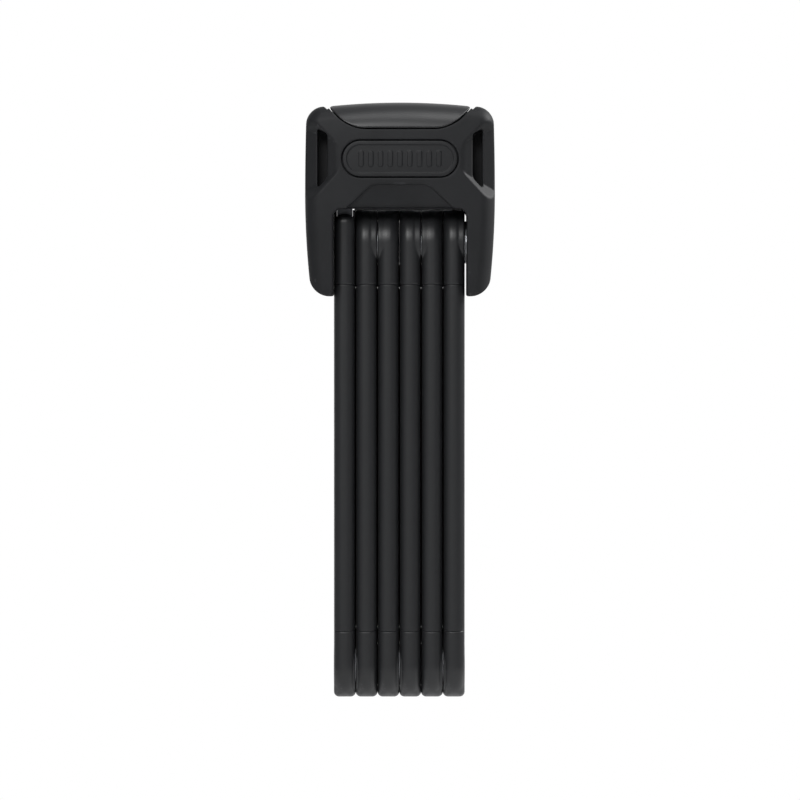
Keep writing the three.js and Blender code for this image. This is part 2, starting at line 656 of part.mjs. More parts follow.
function makeRotor() {
  const inner = ROTOR_RADIUS - ROTOR_WALL;
  const topPlate = 1.5;
  const tube = rod("z", ROTOR_RADIUS, rotorZ, rotorTopZ, [0, 0, 0], 32);
  const hollow = rod("z", inner, rotorZ - 1, rotorTopZ - topPlate, [0, 0, 0], 32);
  const half = SIDEBAR_WIDTH / 2 + 0.15;
  const slot = box(-half, half, -ROTOR_RADIUS - 1, -inner + 1, sidebarSlot.low, sidebarSlot.high);
  return piece("key_rotor", cut(tube, hollow, keywayBox(rotorTopZ - 3, rotorTopZ + 1), slot), brass);
}

function makeDisc(i) {
  const low = sidebarSlot.low + 0.2 + i * DISC_PITCH;
  const radius = ROTOR_RADIUS - ROTOR_WALL - 0.15;
  const half = SIDEBAR_WIDTH / 2 + 0.2;
  const disc = rod("z", radius, low, low + DISC_THICKNESS, [0, 0, 0], 24);
  const notch = box(-half, half, -radius - 1, 0.1 - sidebarY.inner, low - 1, low + DISC_THICKNESS + 1);
  const keyway = keywayBox(low - 1, low + DISC_THICKNESS + 1);
  return piece(`detainer_disc_${i + 1}`, cut(disc, keyway, notch), brass);
}

function makeSidebar() {
  const half = SIDEBAR_WIDTH / 2;
  const ends = { low: sidebarSlot.low + 0.2, high: sidebarSlot.high - 0.2 };
  const bar = box(-half, half, -sidebarY.outer, -sidebarY.inner, ends.low, ends.high);
  return piece("sidebar", bar, hardSteel);
}

function makeCam() {
  const x = CRANK_RADIUS * Math.cos(CRANK_START);
  const y = CRANK_RADIUS * Math.sin(CRANK_START);
  const disc = rod("z", ROTOR_RADIUS - 0.1, camZ, camZ + camThickness, [0, 0, 0], 28);
  const pin = rod("z", CRANK_PIN_RADIUS, boltFloorZ + 0.4, camZ + 0.5, [x, y, 0], 16);
  const hub = rod("z", ROTOR_RADIUS - ROTOR_WALL - 0.2, camZ + 1, rotorZ + 1.2, [0, 0, 0], 24);
  return piece("cam_drive", joined(disc, pin, hub), hardSteel);
}

function makePin() {
  const at = [pinPlace.x, 0, pinPlace.z];
  const pin = rod("y", PIN_RADIUS, -frameHalfDepth, frameHalfDepth, at, 12);
  return piece("cylinder_retaining_pin", pin, hardSteel);
}

function makeDrillPin(y) {
  const pin = rod("z", PIN_RADIUS, ...drillPinZ, [0, y, 0], 12);
  return piece(`anti_drill_pin_${y < 0 ? "front" : "rear"}`, pin, hardSteel);
}

// ---------------------------------------------------------------- cap, shutter and seal
const shutterZ = { top: headTopZ - 0.15 };
shutterZ.low = shutterZ.top - SHUTTER.height;
const sealZ = { low: capBaseZ + 0.35, high: capBaseZ + 1.55 };
const sealRadius = 6.9;

function makeCap() {
  const body = form.intersect(capRegion(0)).subtract(box(-60, 60, -60, 60, 0, capBaseZ));
  const c = SHUTTER_CLEARANCE;
  const left = -SHUTTER.length / 2 - c;
  const right = SHUTTER.length / 2 + SHUTTER_TRAVEL + c;
  const flangeTop = shutterZ.low + SHUTTER.flange + c;
  const wide = SHUTTER.width / 2 + c;
  const narrow = SHUTTER.grip / 2 + c;
  const flangeTrack = box(left, right, -wide, wide, shutterZ.low - c, flangeTop);
  const gripTrack = box(left, right, -narrow, narrow, shutterZ.low, headTopZ + 2);
  const keyWell = keywayBox(capBaseZ - 1, shutterZ.low, 0.7);
  const sealSeat = rod("z", sealRadius + 0.2, capBaseZ - 1, sealZ.high + 0.1, [0, 0, 0], 28);
  return piece("top_cap", cut(body, flangeTrack, gripTrack, keyWell, sealSeat), capPlastic);
}

function makeShutter() {
  const { length, width, grip, flange } = SHUTTER;
  const plate = box(-length / 2, length / 2, -width / 2, width / 2, shutterZ.low, shutterZ.low + flange);
  const handle = box(-length / 2, length / 2, -grip / 2, grip / 2, shutterZ.low + flange / 2, shutterZ.top);
  const ribFloor = shutterZ.top - 0.5;
  const rib = (x) => box(x - 0.5, x + 0.5, -grip, grip, ribFloor, shutterZ.top + 1);
  const ribs = [-3, 0, 3].map(rib);
  return piece("keyhole_shutter", cut(plate.add(handle), ...ribs), capPlastic);
}

const makeSeal = () =>
  piece("keyhole_seal", ring("z", 4.6, sealRadius, sealZ.low, sealZ.high, [0, 0, 0], 28), rubber);

// ---------------------------------------------------------------- covers, badge and screws
const form = headForm();
const screwPlaces = [-(headHalfWidth - 5.6), headHalfWidth - 5.6];
const screwZ = headTopZ - 6.6;
const screwY = { tip: -8, headIn: headHalfDepth - 6.5, headOut: headHalfDepth - 4 };

function screwSpace(x, spread) {
  const shank = rod("y", 1.1 + spread, screwY.tip - spread, screwY.headIn + 1, [x, 0, screwZ], 12);
  const headEnd = spread ? HEAD_DEPTH : screwY.headOut;
  const head = rod("y", 2.2 + spread, screwY.headIn - spread, headEnd, [x, 0, screwZ], 16);
  return shank.add(head);
}

function makeCovers() {
  const hollow = frameBlank(COVER_CLEARANCE);
  const rivetSpace = rod("x", RIVET_HEAD_RADIUS + 0.4, 0, plateOuterX + 1.3, [0, 0, upperPivotZ]);
  const h = HOUSING_RADIUS + 0.6;
  const inside = joined(
    hollow,
    barBay(),
    capRegion(COVER_CLEARANCE),
    rivetSpace,
    tonguePocket(),
    box(-h, h, -h, h, frameTopZ - 1, headTopZ),
    ...screwPlaces.map((x) => screwSpace(x, 0.2)),
  );
  const body = form.subtract(inside);
  const frontHalf = box(-60, 60, -60, -0.1, 0, headTopZ + 9);
  const rearHalf = box(-60, 60, 0.1, 60, 0, headTopZ + 9);
  const relief = frontRelief();
  const badgePocket = stadiumY(
    BADGE_HALF_WIDTH + COVER_CLEARANCE * 1.5,
    BADGE_HALF_HEIGHT + COVER_CLEARANCE * 1.5,
    badgeZ,
    -HEAD_DEPTH,
    -headHalfDepth + BADGE_THICKNESS + COVER_CLEARANCE,
  );
  const front = cut(body.intersect(frontHalf), relief, badgePocket);
  const rear = cut(body.intersect(rearHalf), relief.mirror([0, 1, 0]));
  const badgeBack = -headHalfDepth + BADGE_THICKNESS;
  const badgeBlank = stadiumY(BADGE_HALF_WIDTH, BADGE_HALF_HEIGHT, badgeZ, -HEAD_DEPTH, badgeBack);
  const rim = cut(
    stadiumY(BADGE_HALF_WIDTH - 0.7, BADGE_HALF_HEIGHT - 0.7, badgeZ, -HEAD_DEPTH, -headHalfDepth + 0.5),
    stadiumY(BADGE_HALF_WIDTH - 1.3, BADGE_HALF_HEIGHT - 1.3, badgeZ, -HEAD_DEPTH * 2, HEAD_DEPTH),
  );
  return [
    piece("front_cover", front, softPlastic),
    piece("rear_cover", rear, softPlastic),
    piece("badge", form.intersect(badgeBlank).subtract(rim), softPlastic),
  ];
}

const makeScrew = (x) => {
  const out = screwY.headOut;
  const slot = box(x - 1.6, x + 1.6, out - 0.7, out + 1, screwZ - 0.35, screwZ + 0.35);
  return piece(`cover_screw_${x < 0 ? "left" : "right"}`, screwSpace(x, 0).subtract(slot), darkSteel);
};

// ---------------------------------------------------------------- the whole lock
const lock = new THREE.Group();
lock.add(makeFrame(), ...makeCovers(), makeCap(), makeShutter(), makeSeal(), ...screwPlaces.map(makeScrew));
lock.add(makeHousing(), makeRotor(), makeSidebar(), makeCam(), makePin());
lock.add(...drillPinPlaces.map(makeDrillPin));
for (let i = 0; i < DISC_COUNT; i += 1) lock.add(makeDisc(i));
lock.add(makeBolt(), makeSpring(), makeBoltPlate());
for (let k = 1; k <= BAR_COUNT; k += 1) lock.add(...makeBar(k), ...makeHinge(k));

export default lock;
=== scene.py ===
# %% [markdown]
# # A folding lock, folded flat
# Six steel bars in black plastic sleeves hang side by side under a soft-touch lock head. This lesson
# gives those parts their moulded shapes and their finishes. All shapes here are worked out in millimetres
# and turned into metres last.

# %% Load the frame
import json
import math

import bpy
import numpy as np
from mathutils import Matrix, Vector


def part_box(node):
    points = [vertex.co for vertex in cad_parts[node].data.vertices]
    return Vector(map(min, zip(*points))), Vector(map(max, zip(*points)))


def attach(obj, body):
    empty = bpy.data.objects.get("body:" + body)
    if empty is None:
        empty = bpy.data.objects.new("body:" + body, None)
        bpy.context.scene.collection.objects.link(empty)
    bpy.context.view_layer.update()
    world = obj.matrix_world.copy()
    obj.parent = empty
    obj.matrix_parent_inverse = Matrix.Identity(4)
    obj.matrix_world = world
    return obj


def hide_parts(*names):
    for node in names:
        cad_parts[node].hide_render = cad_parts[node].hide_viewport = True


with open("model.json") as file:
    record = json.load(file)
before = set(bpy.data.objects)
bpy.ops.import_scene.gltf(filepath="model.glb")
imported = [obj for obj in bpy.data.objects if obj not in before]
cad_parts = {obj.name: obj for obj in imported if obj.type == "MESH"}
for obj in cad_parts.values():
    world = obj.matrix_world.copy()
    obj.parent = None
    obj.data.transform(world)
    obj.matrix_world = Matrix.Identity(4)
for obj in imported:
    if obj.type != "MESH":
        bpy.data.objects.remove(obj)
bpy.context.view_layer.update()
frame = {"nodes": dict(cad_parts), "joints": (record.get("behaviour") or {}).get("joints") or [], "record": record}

import openvdb
from mathutils import Vector

MM = 0.001
nodes = frame["nodes"]

# %% [markdown]
# ## Reading sizes off the frame
# Nothing here is typed in twice. A bar's middle, its thickness and the heights of the two rows of hinges
# all come from the loaded parts, so a change to the frame moves the looks with it.

# %% Measure the bars and the head
def span(node):
    """Lowest and highest corner of a frame part, in millimetres."""
    low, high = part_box(node)
    return np.array(low) / MM, np.array(high) / MM


def corners(node):
    flat = np.empty(len(nodes[node].data.vertices) * 3, np.float32)
    nodes[node].data.vertices.foreach_get("co", flat)
    return flat.reshape(-1, 3) / MM


BARS = sorted(int(name.split("_")[1]) for name in nodes if name.endswith("_sleeve"))
LAST = BARS[-1]
bar_low, bar_high = span("bar_1_sleeve")
BAR_HALF = (bar_high[0] - bar_low[0]) / 2
BAR_RADIUS = bar_high[1]
bar_x = {k: (span(f"bar_{k}_sleeve")[0][0] + span(f"bar_{k}_sleeve")[1][0]) / 2 for k in BARS}
hinges = [joint for joint in frame["joints"] if "hinge" in joint["name"]]
pivot_heights = sorted({round(joint["pos_m"][2] / MM, 3) for joint in hinges})
LOWER_PIVOT, UPPER_PIVOT = pivot_heights

shell = corners("front_cover")
head_low = np.minimum(span("front_cover")[0], span("rear_cover")[0])
head_high = np.maximum(span("front_cover")[1], span("rear_cover")[1])
HEAD_HALF = head_high[0]
HEAD_DEEP = -head_low[1]
HEAD_FOOT = head_low[2]
HEAD_TOP = span("top_cap")[1][2]
LIP = shell[np.abs(shell[:, 0]) < 20][:, 2].min()
LEG_INNER = np.abs(shell[shell[:, 2] < UPPER_PIVOT - 5][:, 0]).min()
print(f"{len(BARS)} bars {2 * BAR_HALF:.2f} mm thick, hinges at z = {LOWER_PIVOT} and {UPPER_PIVOT}")
print(f"head {2 * HEAD_HALF:.1f} wide, lip at z = {LIP:.1f}, legs' inner faces at x = {LEG_INNER:.2f}")

# %% [markdown]
# ## Shapes from a distance formula
# A moulded cover is all soft blends: broad rolled edges, dished thumb hollows, small radii along every
# groove. Bevelling a boxy mesh fails where such blends meet. Here each piece is a formula instead, which
# gives the distance from any point to its surface, below zero inside. Cutting and joining are then a
# maximum and a minimum, and a radius is part of the same sum. OpenVDB, which comes with Blender, turns
# the formula's zero level into quads, and a few Newton steps put each vertex exactly on it.

# %% Blend two distances
def carve(a, b, radius):
    """Inside both a and b, with the edge between them rolled to this radius."""
    rolled = np.hypot(np.maximum(a + radius, 0), np.maximum(b + radius, 0))
    return np.minimum(np.maximum(a, b), -radius) + rolled


def weld(a, b, radius):
    """Inside a or b, with a fillet of this radius between them."""
    return -carve(-a, -b, radius)


def smooth(value, low, high):
    share = np.clip((value - low) / (high - low), 0, 1)
    return share * share * (3 - 2 * share)


def all_of(*parts):
    shape = parts[0]
    for part in parts[1:]:
        shape = np.maximum(shape, part)
    return shape


# %% Turn a distance formula into an object
def new_object(name, points, faces):
    mesh = bpy.data.meshes.new(name)
    mesh.from_pydata(points * MM, [], faces)
    mesh.validate()
    mesh.shade_smooth()
    piece = bpy.data.objects.new(name, mesh)
    bpy.context.scene.collection.objects.link(piece)
    return piece


def settle(distance, points, step, rounds=3):
    """Newton steps that move points onto the surface where distance is zero."""
    h = step * 0.1
    for _ in range(rounds):
        x, y, z = points.T
        value = distance(x, y, z)
        slope = np.stack([
            distance(x + h, y, z) - distance(x - h, y, z),
            distance(x, y + h, z) - distance(x, y - h, z),
            distance(x, y, z + h) - distance(x, y, z - h),
        ]) / (2 * h)
        move = -value * slope / np.maximum((slope**2).sum(0), 0.05)
        points = points + np.clip(move, -0.5 * step, 0.5 * step).T
    return points


def moulded(name, distance, low, high, step):
    low = np.array(low, float) - 3 * step
    counts = np.ceil((np.array(high, float) + 3 * step - low) / step).astype(int)
    axes = [low[i] + step * np.arange(counts[i]) for i in range(3)]
    x, y, z = np.meshgrid(*axes, indexing="ij", sparse=True)
    field = np.broadcast_to(distance(x, y, z), counts)
    grid = openvdb.FloatGrid(3.0)
    grid.copyFromArray(np.clip(field / step, -3, 3).astype(np.float32))
    points, quads = grid.convertToQuads(isovalue=0.0)
    points = settle(distance, low + points.astype(float) * step, step)
    a, b, c, d = (points[quads[:, i]] for i in range(4))
    volume = (np.cross(b - a, c - a) * a).sum() + (np.cross(c - a, d - a) * a).sum()
    if volume < 0:
        quads = quads[:, ::-1]
    print(f"{name}: {len(quads)} quads")
    return new_object(name, points, quads.tolist())


# %% [markdown]
# ## The head's outer form
# Front and back are gently crowned, the sides are slightly barrelled and the top is one shallow arc. The
# edges roll with a different reach each way, so the rolled corner is a piece of an ellipsoid. The cap
# across the top rolls over much more softly than the shell beside it, which is what makes it catch the
# light as a lens.

# %% Head form
WAIST = LIP + 5
CHEST = LIP + 12
SIDE_ROLL = 5.0
SHELL_ROLL = (6.0, 5.0)
CAP_ROLL = (10.5, 8.5)
FOOT_CORNER = 6.0
FOOT_EDGE = 2.4
SKIN = 0.03
DEEP_INSIDE = 0.01


def side_face(z):
    return HEAD_HALF - SKIN - np.where(z > WAIST, 0.4, 1.1) * ((z - WAIST) / 25) ** 2


def front_face(x, z):
    fall = np.where(z > CHEST, 0.8 * ((z - CHEST) / 16) ** 2, 1.9 * ((z - CHEST) / 41) ** 2)
    return HEAD_DEEP - SKIN - 1.0 * (x / HEAD_HALF) ** 2 - fall


def head_form(x, y, z, roll):
    side = np.abs(x) - side_face(z)
    face = np.abs(y) - front_face(x, z)
    roof = z - (HEAD_TOP - SKIN - 2.2 * (x / HEAD_HALF) ** 2)
    reach = (SIDE_ROLL, *roll)
    a, b, c = (np.maximum(d / r + 1, 0) ** 2 for d, r in zip((side, face, roof), reach))
    total = a + b + c
    weighted = reach[0] * a + reach[1] * b + reach[2] * c
    rolled = (np.sqrt(total) - 1) * (weighted + DEEP_INSIDE) / (total + DEEP_INSIDE / SIDE_ROLL)
    feet = np.maximum(carve(side, HEAD_FOOT - z, FOOT_CORNER), carve(face, HEAD_FOOT - z, FOOT_EDGE))
    return np.maximum(rolled, feet)


# %% [markdown]
# ## Hollows, chin and bay
# On each side a thumb hollow is dished into the front and the back. Three sloping planes make it: a
# shallow one from the ridge, and a steep one at the top and at the bottom. A leaf-shaped slit is cut into
# its floor. Below the badge the chin slants in towards the lip, and the bay between the legs runs right
# through for the bars. At the back, the bars' tops swing out round the lower hinges. So the back lip can
# hang lower than the front one: it follows the arc of the bars' tops with a small clearance, and hides
# the daylight over them.

# %% Cuts in both covers
RIDGE = 20.9
HOLLOW_TOP_REACH = 27.4
HOLLOW_TOP_RISE = 28.9
HOLLOW_FOOT_RISE = 11.6
HOLLOW_START = 0.75
SHALLOW_SLOPE = 0.62
SLIT_ROOF_RISE = 24.4
SLIT_POINT_RISE = 9.9
SLIT_FOOT_RISE = 6.6
SLIT_FLOOR = 6
SLIT_INNER = 23.9
SLIT_OUTER = 27.2
CHIN_TOP = LIP + 7.6
CHIN_HALF = 9.3
CHIN_WIDE = 18.6
CHIN_SPREAD = 1.07
CHIN_LIP_ROLL = 5.5
DIAGONAL = 0.707
LIP_DROP = 0.35
BAY_CORNER = 2.1
BAY_CORNER_INSIDE = 1.4
BARS_REACH = 10.6
CURTAIN_FRONT = 12.5
CURTAIN_RAMP = 0.5
CURTAIN_CLEARANCE = 0.25
SWING_RADIUS = UPPER_PIVOT - LOWER_PIVOT + BAR_RADIUS
SWING_TOP = LOWER_PIVOT + math.sqrt(SWING_RADIUS ** 2 - CURTAIN_FRONT ** 2)
CURTAIN_DROP = LIP - SWING_TOP - CURTAIN_CLEARANCE


def thumb_hollow(x, y, z):
    ax = np.abs(x)
    from_ridge = ax - RIDGE
    from_top = 0.768 * (ax - HOLLOW_TOP_REACH) - 0.640 * (z - LIP - HOLLOW_TOP_RISE)
    from_bottom = 0.750 * (ax - RIDGE) + 0.661 * (z - LIP - HOLLOW_FOOT_RISE)
    steep = weld(1.3 * from_top, 1.7 * from_bottom, 0.5)
    depth = weld(SHALLOW_SLOPE * from_ridge, steep, 0.8)
    return -(np.abs(y) - (HEAD_DEEP - HOLLOW_START) + depth) * 0.85


def thumb_slit(x, y, z):
    ax = np.abs(x)
    sides = np.abs(ax - (SLIT_INNER + SLIT_OUTER) / 2) - (SLIT_OUTER - SLIT_INNER) / 2
    roof = z - (LIP + SLIT_ROOF_RISE + 0.5 * (ax - SLIT_INNER))
    point = -0.738 * (ax - SLIT_INNER) - 0.675 * (z - LIP - SLIT_POINT_RISE)
    leaf = carve(carve(sides, roof, 0.8), carve(point, LIP + SLIT_FOOT_RISE - z, 0.5), 0.8)
    return np.maximum(leaf, SLIT_FLOOR - np.abs(y))


def chin(x, y, z):
    down = CHIN_TOP - z
    beside = 0.683 * (np.abs(x) - CHIN_HALF - CHIN_SPREAD * down)
    panel = np.maximum(carve(-down, beside, 1.5), np.abs(x) - CHIN_WIDE)
    depth = 0.6 + 0.22 * down + 0.2 * np.maximum(down - CHIN_LIP_ROLL, 0) ** 2
    return carve(panel, -(np.abs(y) - (HEAD_DEEP - 0.25) + depth), 0.3)


def bay(x, y, z):
    ax = np.abs(x)
    behind = smooth(y, CURTAIN_FRONT, CURTAIN_FRONT + CURTAIN_RAMP)
    drop = LIP_DROP + (CURTAIN_DROP - LIP_DROP) * behind
    opening = carve(ax - LEG_INNER, z - LIP + drop, 0.2)
    corner = ax + z - LEG_INNER - LIP
    outside = carve(opening, DIAGONAL * (corner + BAY_CORNER), 0.4)
    round_bars = np.maximum(opening, np.abs(y) - BARS_REACH)
    inside = carve(round_bars, DIAGONAL * (corner + BAY_CORNER_INSIDE), 0.2)
    return np.minimum(outside, inside)


# %% [markdown]
# ## The cap line and the space inside
# The cap is a lens with rolled lower corners, so its outline is a flat line and two slanted ones. Shell
# and cap each stop a little short of it, and the groove between them is real. Inside, the covers are
# hollow for the steel frame: its box is read off the frame part.

# %% Cap line, notch and inner space
CAP_BOTTOM = LIP + 26.05
CAP_SLANT_REACH = 18.2
CAP_SLANT_RISE = 27.3
CAP_CORNER = 4.0
NOTCH_REACH = 24.0
NOTCH_DEPTH = 2.5
CAP_GAP = 0.2
BADGE_MIDDLE = LIP + 16.1
frame_low, frame_high = span("lock_frame")
tongue_x = bar_x[LAST]
SHOULDER_SWING = 13.5
FRAME_GAP = 0.3
BLOCK_GAP = 0.65
PLATE_HALF = 2.5
PLATE_DEEP = 10.1
BRIDGE_RISE = 6


def cap_line(x, z):
    slanted = 0.740 * (np.abs(x) - CAP_SLANT_REACH) - 0.673 * (z - LIP - CAP_SLANT_RISE)
    return carve(CAP_BOTTOM - z, slanted, CAP_CORNER)


def cap_gap(form):
    """The groove beside the cap is open near the surface, and closed further in."""
    return 0.01 + (CAP_GAP - 0.01) * smooth(form, -2.4, -1.6)


def notch(x, z):
    return DIAGONAL * (np.abs(np.abs(x) - NOTCH_REACH) - (z - HEAD_TOP + NOTCH_DEPTH))


def frame_space(x, y, z):
    ax = np.abs(x)
    deep = np.abs(y)
    above_lip = z - LIP - BRIDGE_RISE
    block = all_of(ax - LEG_INNER - BLOCK_GAP, deep - frame_high[1] - FRAME_GAP)
    block = all_of(block, LIP + 0.2 - z, z - frame_high[2] - FRAME_GAP)
    plate_side = np.abs(ax - frame_high[0] + PLATE_HALF) - PLATE_HALF - FRAME_GAP
    plates = all_of(plate_side, deep - PLATE_DEEP, above_lip)
    plates = np.maximum(plates, frame_low[2] - FRAME_GAP - z)
    bridge = all_of(ax - frame_high[0] - FRAME_GAP, deep - PLATE_DEEP, LIP - 0.2 - z, above_lip)
    bar_side = np.abs(x - tongue_x) - BAR_HALF - FRAME_GAP
    shoulder = np.maximum(bar_side, np.hypot(y, z - UPPER_PIVOT) - SHOULDER_SWING)
    return np.minimum(np.minimum(block, plates), np.minimum(bridge, shoulder))


def stadium(x, z, half_wide, half_high):
    return np.hypot(np.maximum(np.abs(x) - half_wide + half_high, 0), z - BADGE_MIDDLE) - half_high


# %% [markdown]
# ## Front and rear cover
# The two shells meet in a thin parting line round the sides. The front one has the stadium-shaped seat
# for the badge. The rear one has two screw wells, and the mouth through which the steel tongue swings in.

# %% Make the two covers
badge_low, badge_high = span("badge")
BADGE_WIDE = badge_high[0]
BADGE_HIGH = (badge_high[2] - badge_low[2]) / 2
SEAT_GAP = 0.4
SEAT_BEHIND = 0.3
MOUTH_HALF = 3.0
MOUTH_RISE = 11.6
WELL_RADIUS = 2.5
WELL_FLOOR = 11.2
PARTING = 0.1
EDGE = 0.35
screw_low, screw_high = span("cover_screw_right")
SCREW_X = (screw_low[0] + screw_high[0]) / 2
SCREW_Z = (screw_low[2] + screw_high[2]) / 2


def cover_blank(x, y, z):
    form = head_form(x, y, z, SHELL_ROLL)
    shape = carve(form, -thumb_hollow(x, y, z), 0.5)
    shape = carve(shape, -thumb_slit(x, y, z), 0.4)
    shape = carve(shape, -chin(x, y, z), 0.5)
    shape = carve(shape, -bay(x, y, z), 0.7)
    shape = carve(shape, cap_gap(form) - cap_line(x, z), EDGE)
    shape = carve(shape, -notch(x, z), 0.3)
    return np.maximum(shape, -frame_space(x, y, z))


def front_cover(x, y, z):
    outline = stadium(x, z, BADGE_WIDE + SEAT_GAP, BADGE_HIGH + SEAT_GAP)
    seat = np.maximum(outline, y - badge_high[1] - SEAT_BEHIND)
    shape = carve(cover_blank(x, y, z), y + PARTING, EDGE)
    return carve(shape, -seat, EDGE)


def rear_cover(x, y, z):
    shape = carve(cover_blank(x, y, z), PARTING - y, EDGE)
    mouth = all_of(np.abs(x - tongue_x) - MOUTH_HALF, z - LIP - MOUTH_RISE, UPPER_PIVOT - z)
    shape = carve(shape, -mouth, 0.6)
    well = np.maximum(np.hypot(np.abs(x) - SCREW_X, z - SCREW_Z) - WELL_RADIUS, WELL_FLOOR - y)
    return carve(shape, -well, 0.4)


STEP = 0.3
front_low, front_high = [-HEAD_HALF, -HEAD_DEEP, HEAD_FOOT], [HEAD_HALF, 0, HEAD_TOP]
rear_low, rear_high = [-HEAD_HALF, 0, HEAD_FOOT], [HEAD_HALF, HEAD_DEEP, HEAD_TOP]
front = moulded("cover_front", front_cover, front_low, front_high, STEP)
rear = moulded("cover_rear", rear_cover, rear_low, rear_high, STEP)

# %% [markdown]
# ## Cap, keyhole shutter and badge
# The cap is the same head form with the softer roll, kept inside the cap line. A track for the sliding
# keyhole shutter is let into its top. The badge sits in its seat with a raised rim. Its sunk field
# carries a row of plain upright ribs, a neutral pattern.

# %% Make the cap and the shutter
shutter_low, shutter_high = span("keyhole_shutter")
TRACK_REACH = 9.25
TRACK_GAP = 0.25
GRIP_HALF = 3.45
KEYWAY_HALF = (4.2, 2.0)
SEAL_RADIUS = 7.1
TRACK_END = shutter_high[0] + TRACK_REACH
FLANGE_TOP = shutter_low[2] + 1.25


def track(x, y, z):
    middle = (TRACK_END + shutter_low[0] - TRACK_GAP) / 2
    along = np.abs(x - middle) - (TRACK_END - shutter_low[0] + TRACK_GAP) / 2
    across = np.abs(y) - shutter_high[1] - TRACK_GAP
    wide = all_of(along, across, z - FLANGE_TOP, shutter_low[2] - TRACK_GAP - z)
    grip = all_of(carve(along, np.abs(y) - GRIP_HALF, 0.6), shutter_low[2] - z)
    return np.minimum(wide, grip)


def cap(x, y, z):
    form = head_form(x, y, z, CAP_ROLL)
    shape = carve(form, cap_line(x, z) + cap_gap(form), EDGE)
    shape = carve(shape, -notch(x, z), 0.3)
    well = all_of(np.abs(x) - KEYWAY_HALF[0], np.abs(y) - KEYWAY_HALF[1], z - shutter_low[2])
    seal_seat = np.maximum(np.hypot(x, y) - SEAL_RADIUS, z - span("keyhole_seal")[1][2] - 0.1)
    return carve(np.maximum(np.maximum(shape, -well), -seal_seat), -track(x, y, z), 0.25)


def shutter(x, y, z):
    length = np.abs(x) - shutter_high[0]
    plate = all_of(length, np.abs(y) - shutter_high[1], z - shutter_low[2] - 1.0)
    handle = carve(carve(length, np.abs(y) - 3.2, 0.6), z - shutter_high[2], 0.5)
    rib_phase = np.abs((x + 1.5) % 2.0 - 1.0) - 0.45
    groove = all_of(rib_phase, shutter_high[2] - 0.5 - z, np.abs(x) - 4.6)
    return carve(np.maximum(np.minimum(plate, handle), shutter_low[2] - z), -groove, 0.2)


cap_low, cap_high = span("top_cap")
cap_piece = moulded("cap", cap, cap_low, cap_high, 0.3)
shutter_piece = moulded("shutter", shutter, shutter_low, shutter_high, 0.15)

# %% Make the badge
RIB_PITCH = 3.2
RIB_COUNT = 9


def badge(x, y, z):
    surface = head_form(x, y, z, SHELL_ROLL)
    shape = carve(surface, stadium(x, z, BADGE_WIDE, BADGE_HIGH), EDGE)
    shape = np.maximum(shape, y - badge_high[1])
    field = carve(stadium(x, z, BADGE_WIDE - 1.3, BADGE_HIGH - 1.3), -(surface + 0.38), 0.15)
    shape = carve(shape, -field, 0.15)
    nearest = np.clip(np.round(x / RIB_PITCH), -(RIB_COUNT // 2), RIB_COUNT // 2) * RIB_PITCH
    rib = np.hypot(x - nearest, np.maximum(np.abs(z - BADGE_MIDDLE) - 1.9, 0)) - 0.8
    return weld(shape, np.maximum(carve(rib, surface + 0.12, 0.2), y - badge_high[1]), 0.1)


badge_piece = moulded("badge_plate", badge, badge_low, badge_high, 0.16)

# %% [markdown]
# ## Bar ends
# Each bar is a plate with fully rolled edges and half-round ends. Where two bars turn on each other, the
# end cover has a flat round boss that fills the crease between them. One end cover is made and then
# mirrored and moved for all bars, because they come from the same mould. The last bar's upper cover is
# square instead.

# %% Bar form, seams and bosses
BAR_ROLL = 3.1
APEX_ROLL = {"upper": 0.35, "lower": 1.7}
CROWN = 0.17
CROWN_REACH = BAR_RADIUS - BAR_ROLL
BOSS_RADIUS = {"upper": 10.6, "lower": 9.6}
SEAM_BOW = 1.5
SEAM_SIDE = BAR_RADIUS + 1
SEAM_GAP = 0.12
SEAM_EDGE = 0.16
RIVET_HOLE = 7.3
core_low, core_high = span("bar_1_core")
CORE_HALF = (core_high[0] - core_low[0]) / 2 + 0.15
CORE_RADIUS = core_high[1] + 0.15
LOWER_SEAM = bar_low[2] - LOWER_PIVOT
UPPER_SEAM = UPPER_PIVOT - bar_high[2]
SQUARE_TOP = span(f"bar_{LAST}_upper_cover")[1][2] - UPPER_PIVOT
COLLAR_TOP = BAR_RADIUS - 0.1
COLLAR_HALF = 5.5
SQUARE_WALL = 1.9
TONGUE_HALF = 6.15


def seam(y):
    return SEAM_BOW * (1 - (y / SEAM_SIDE) ** 2)


def half_thickness(y):
    """A bar's sides swell by a hair, so that folded neighbours touch along a line and don't rattle."""
    return BAR_HALF + CROWN * np.maximum(1 - (y / CROWN_REACH) ** 2, 0)


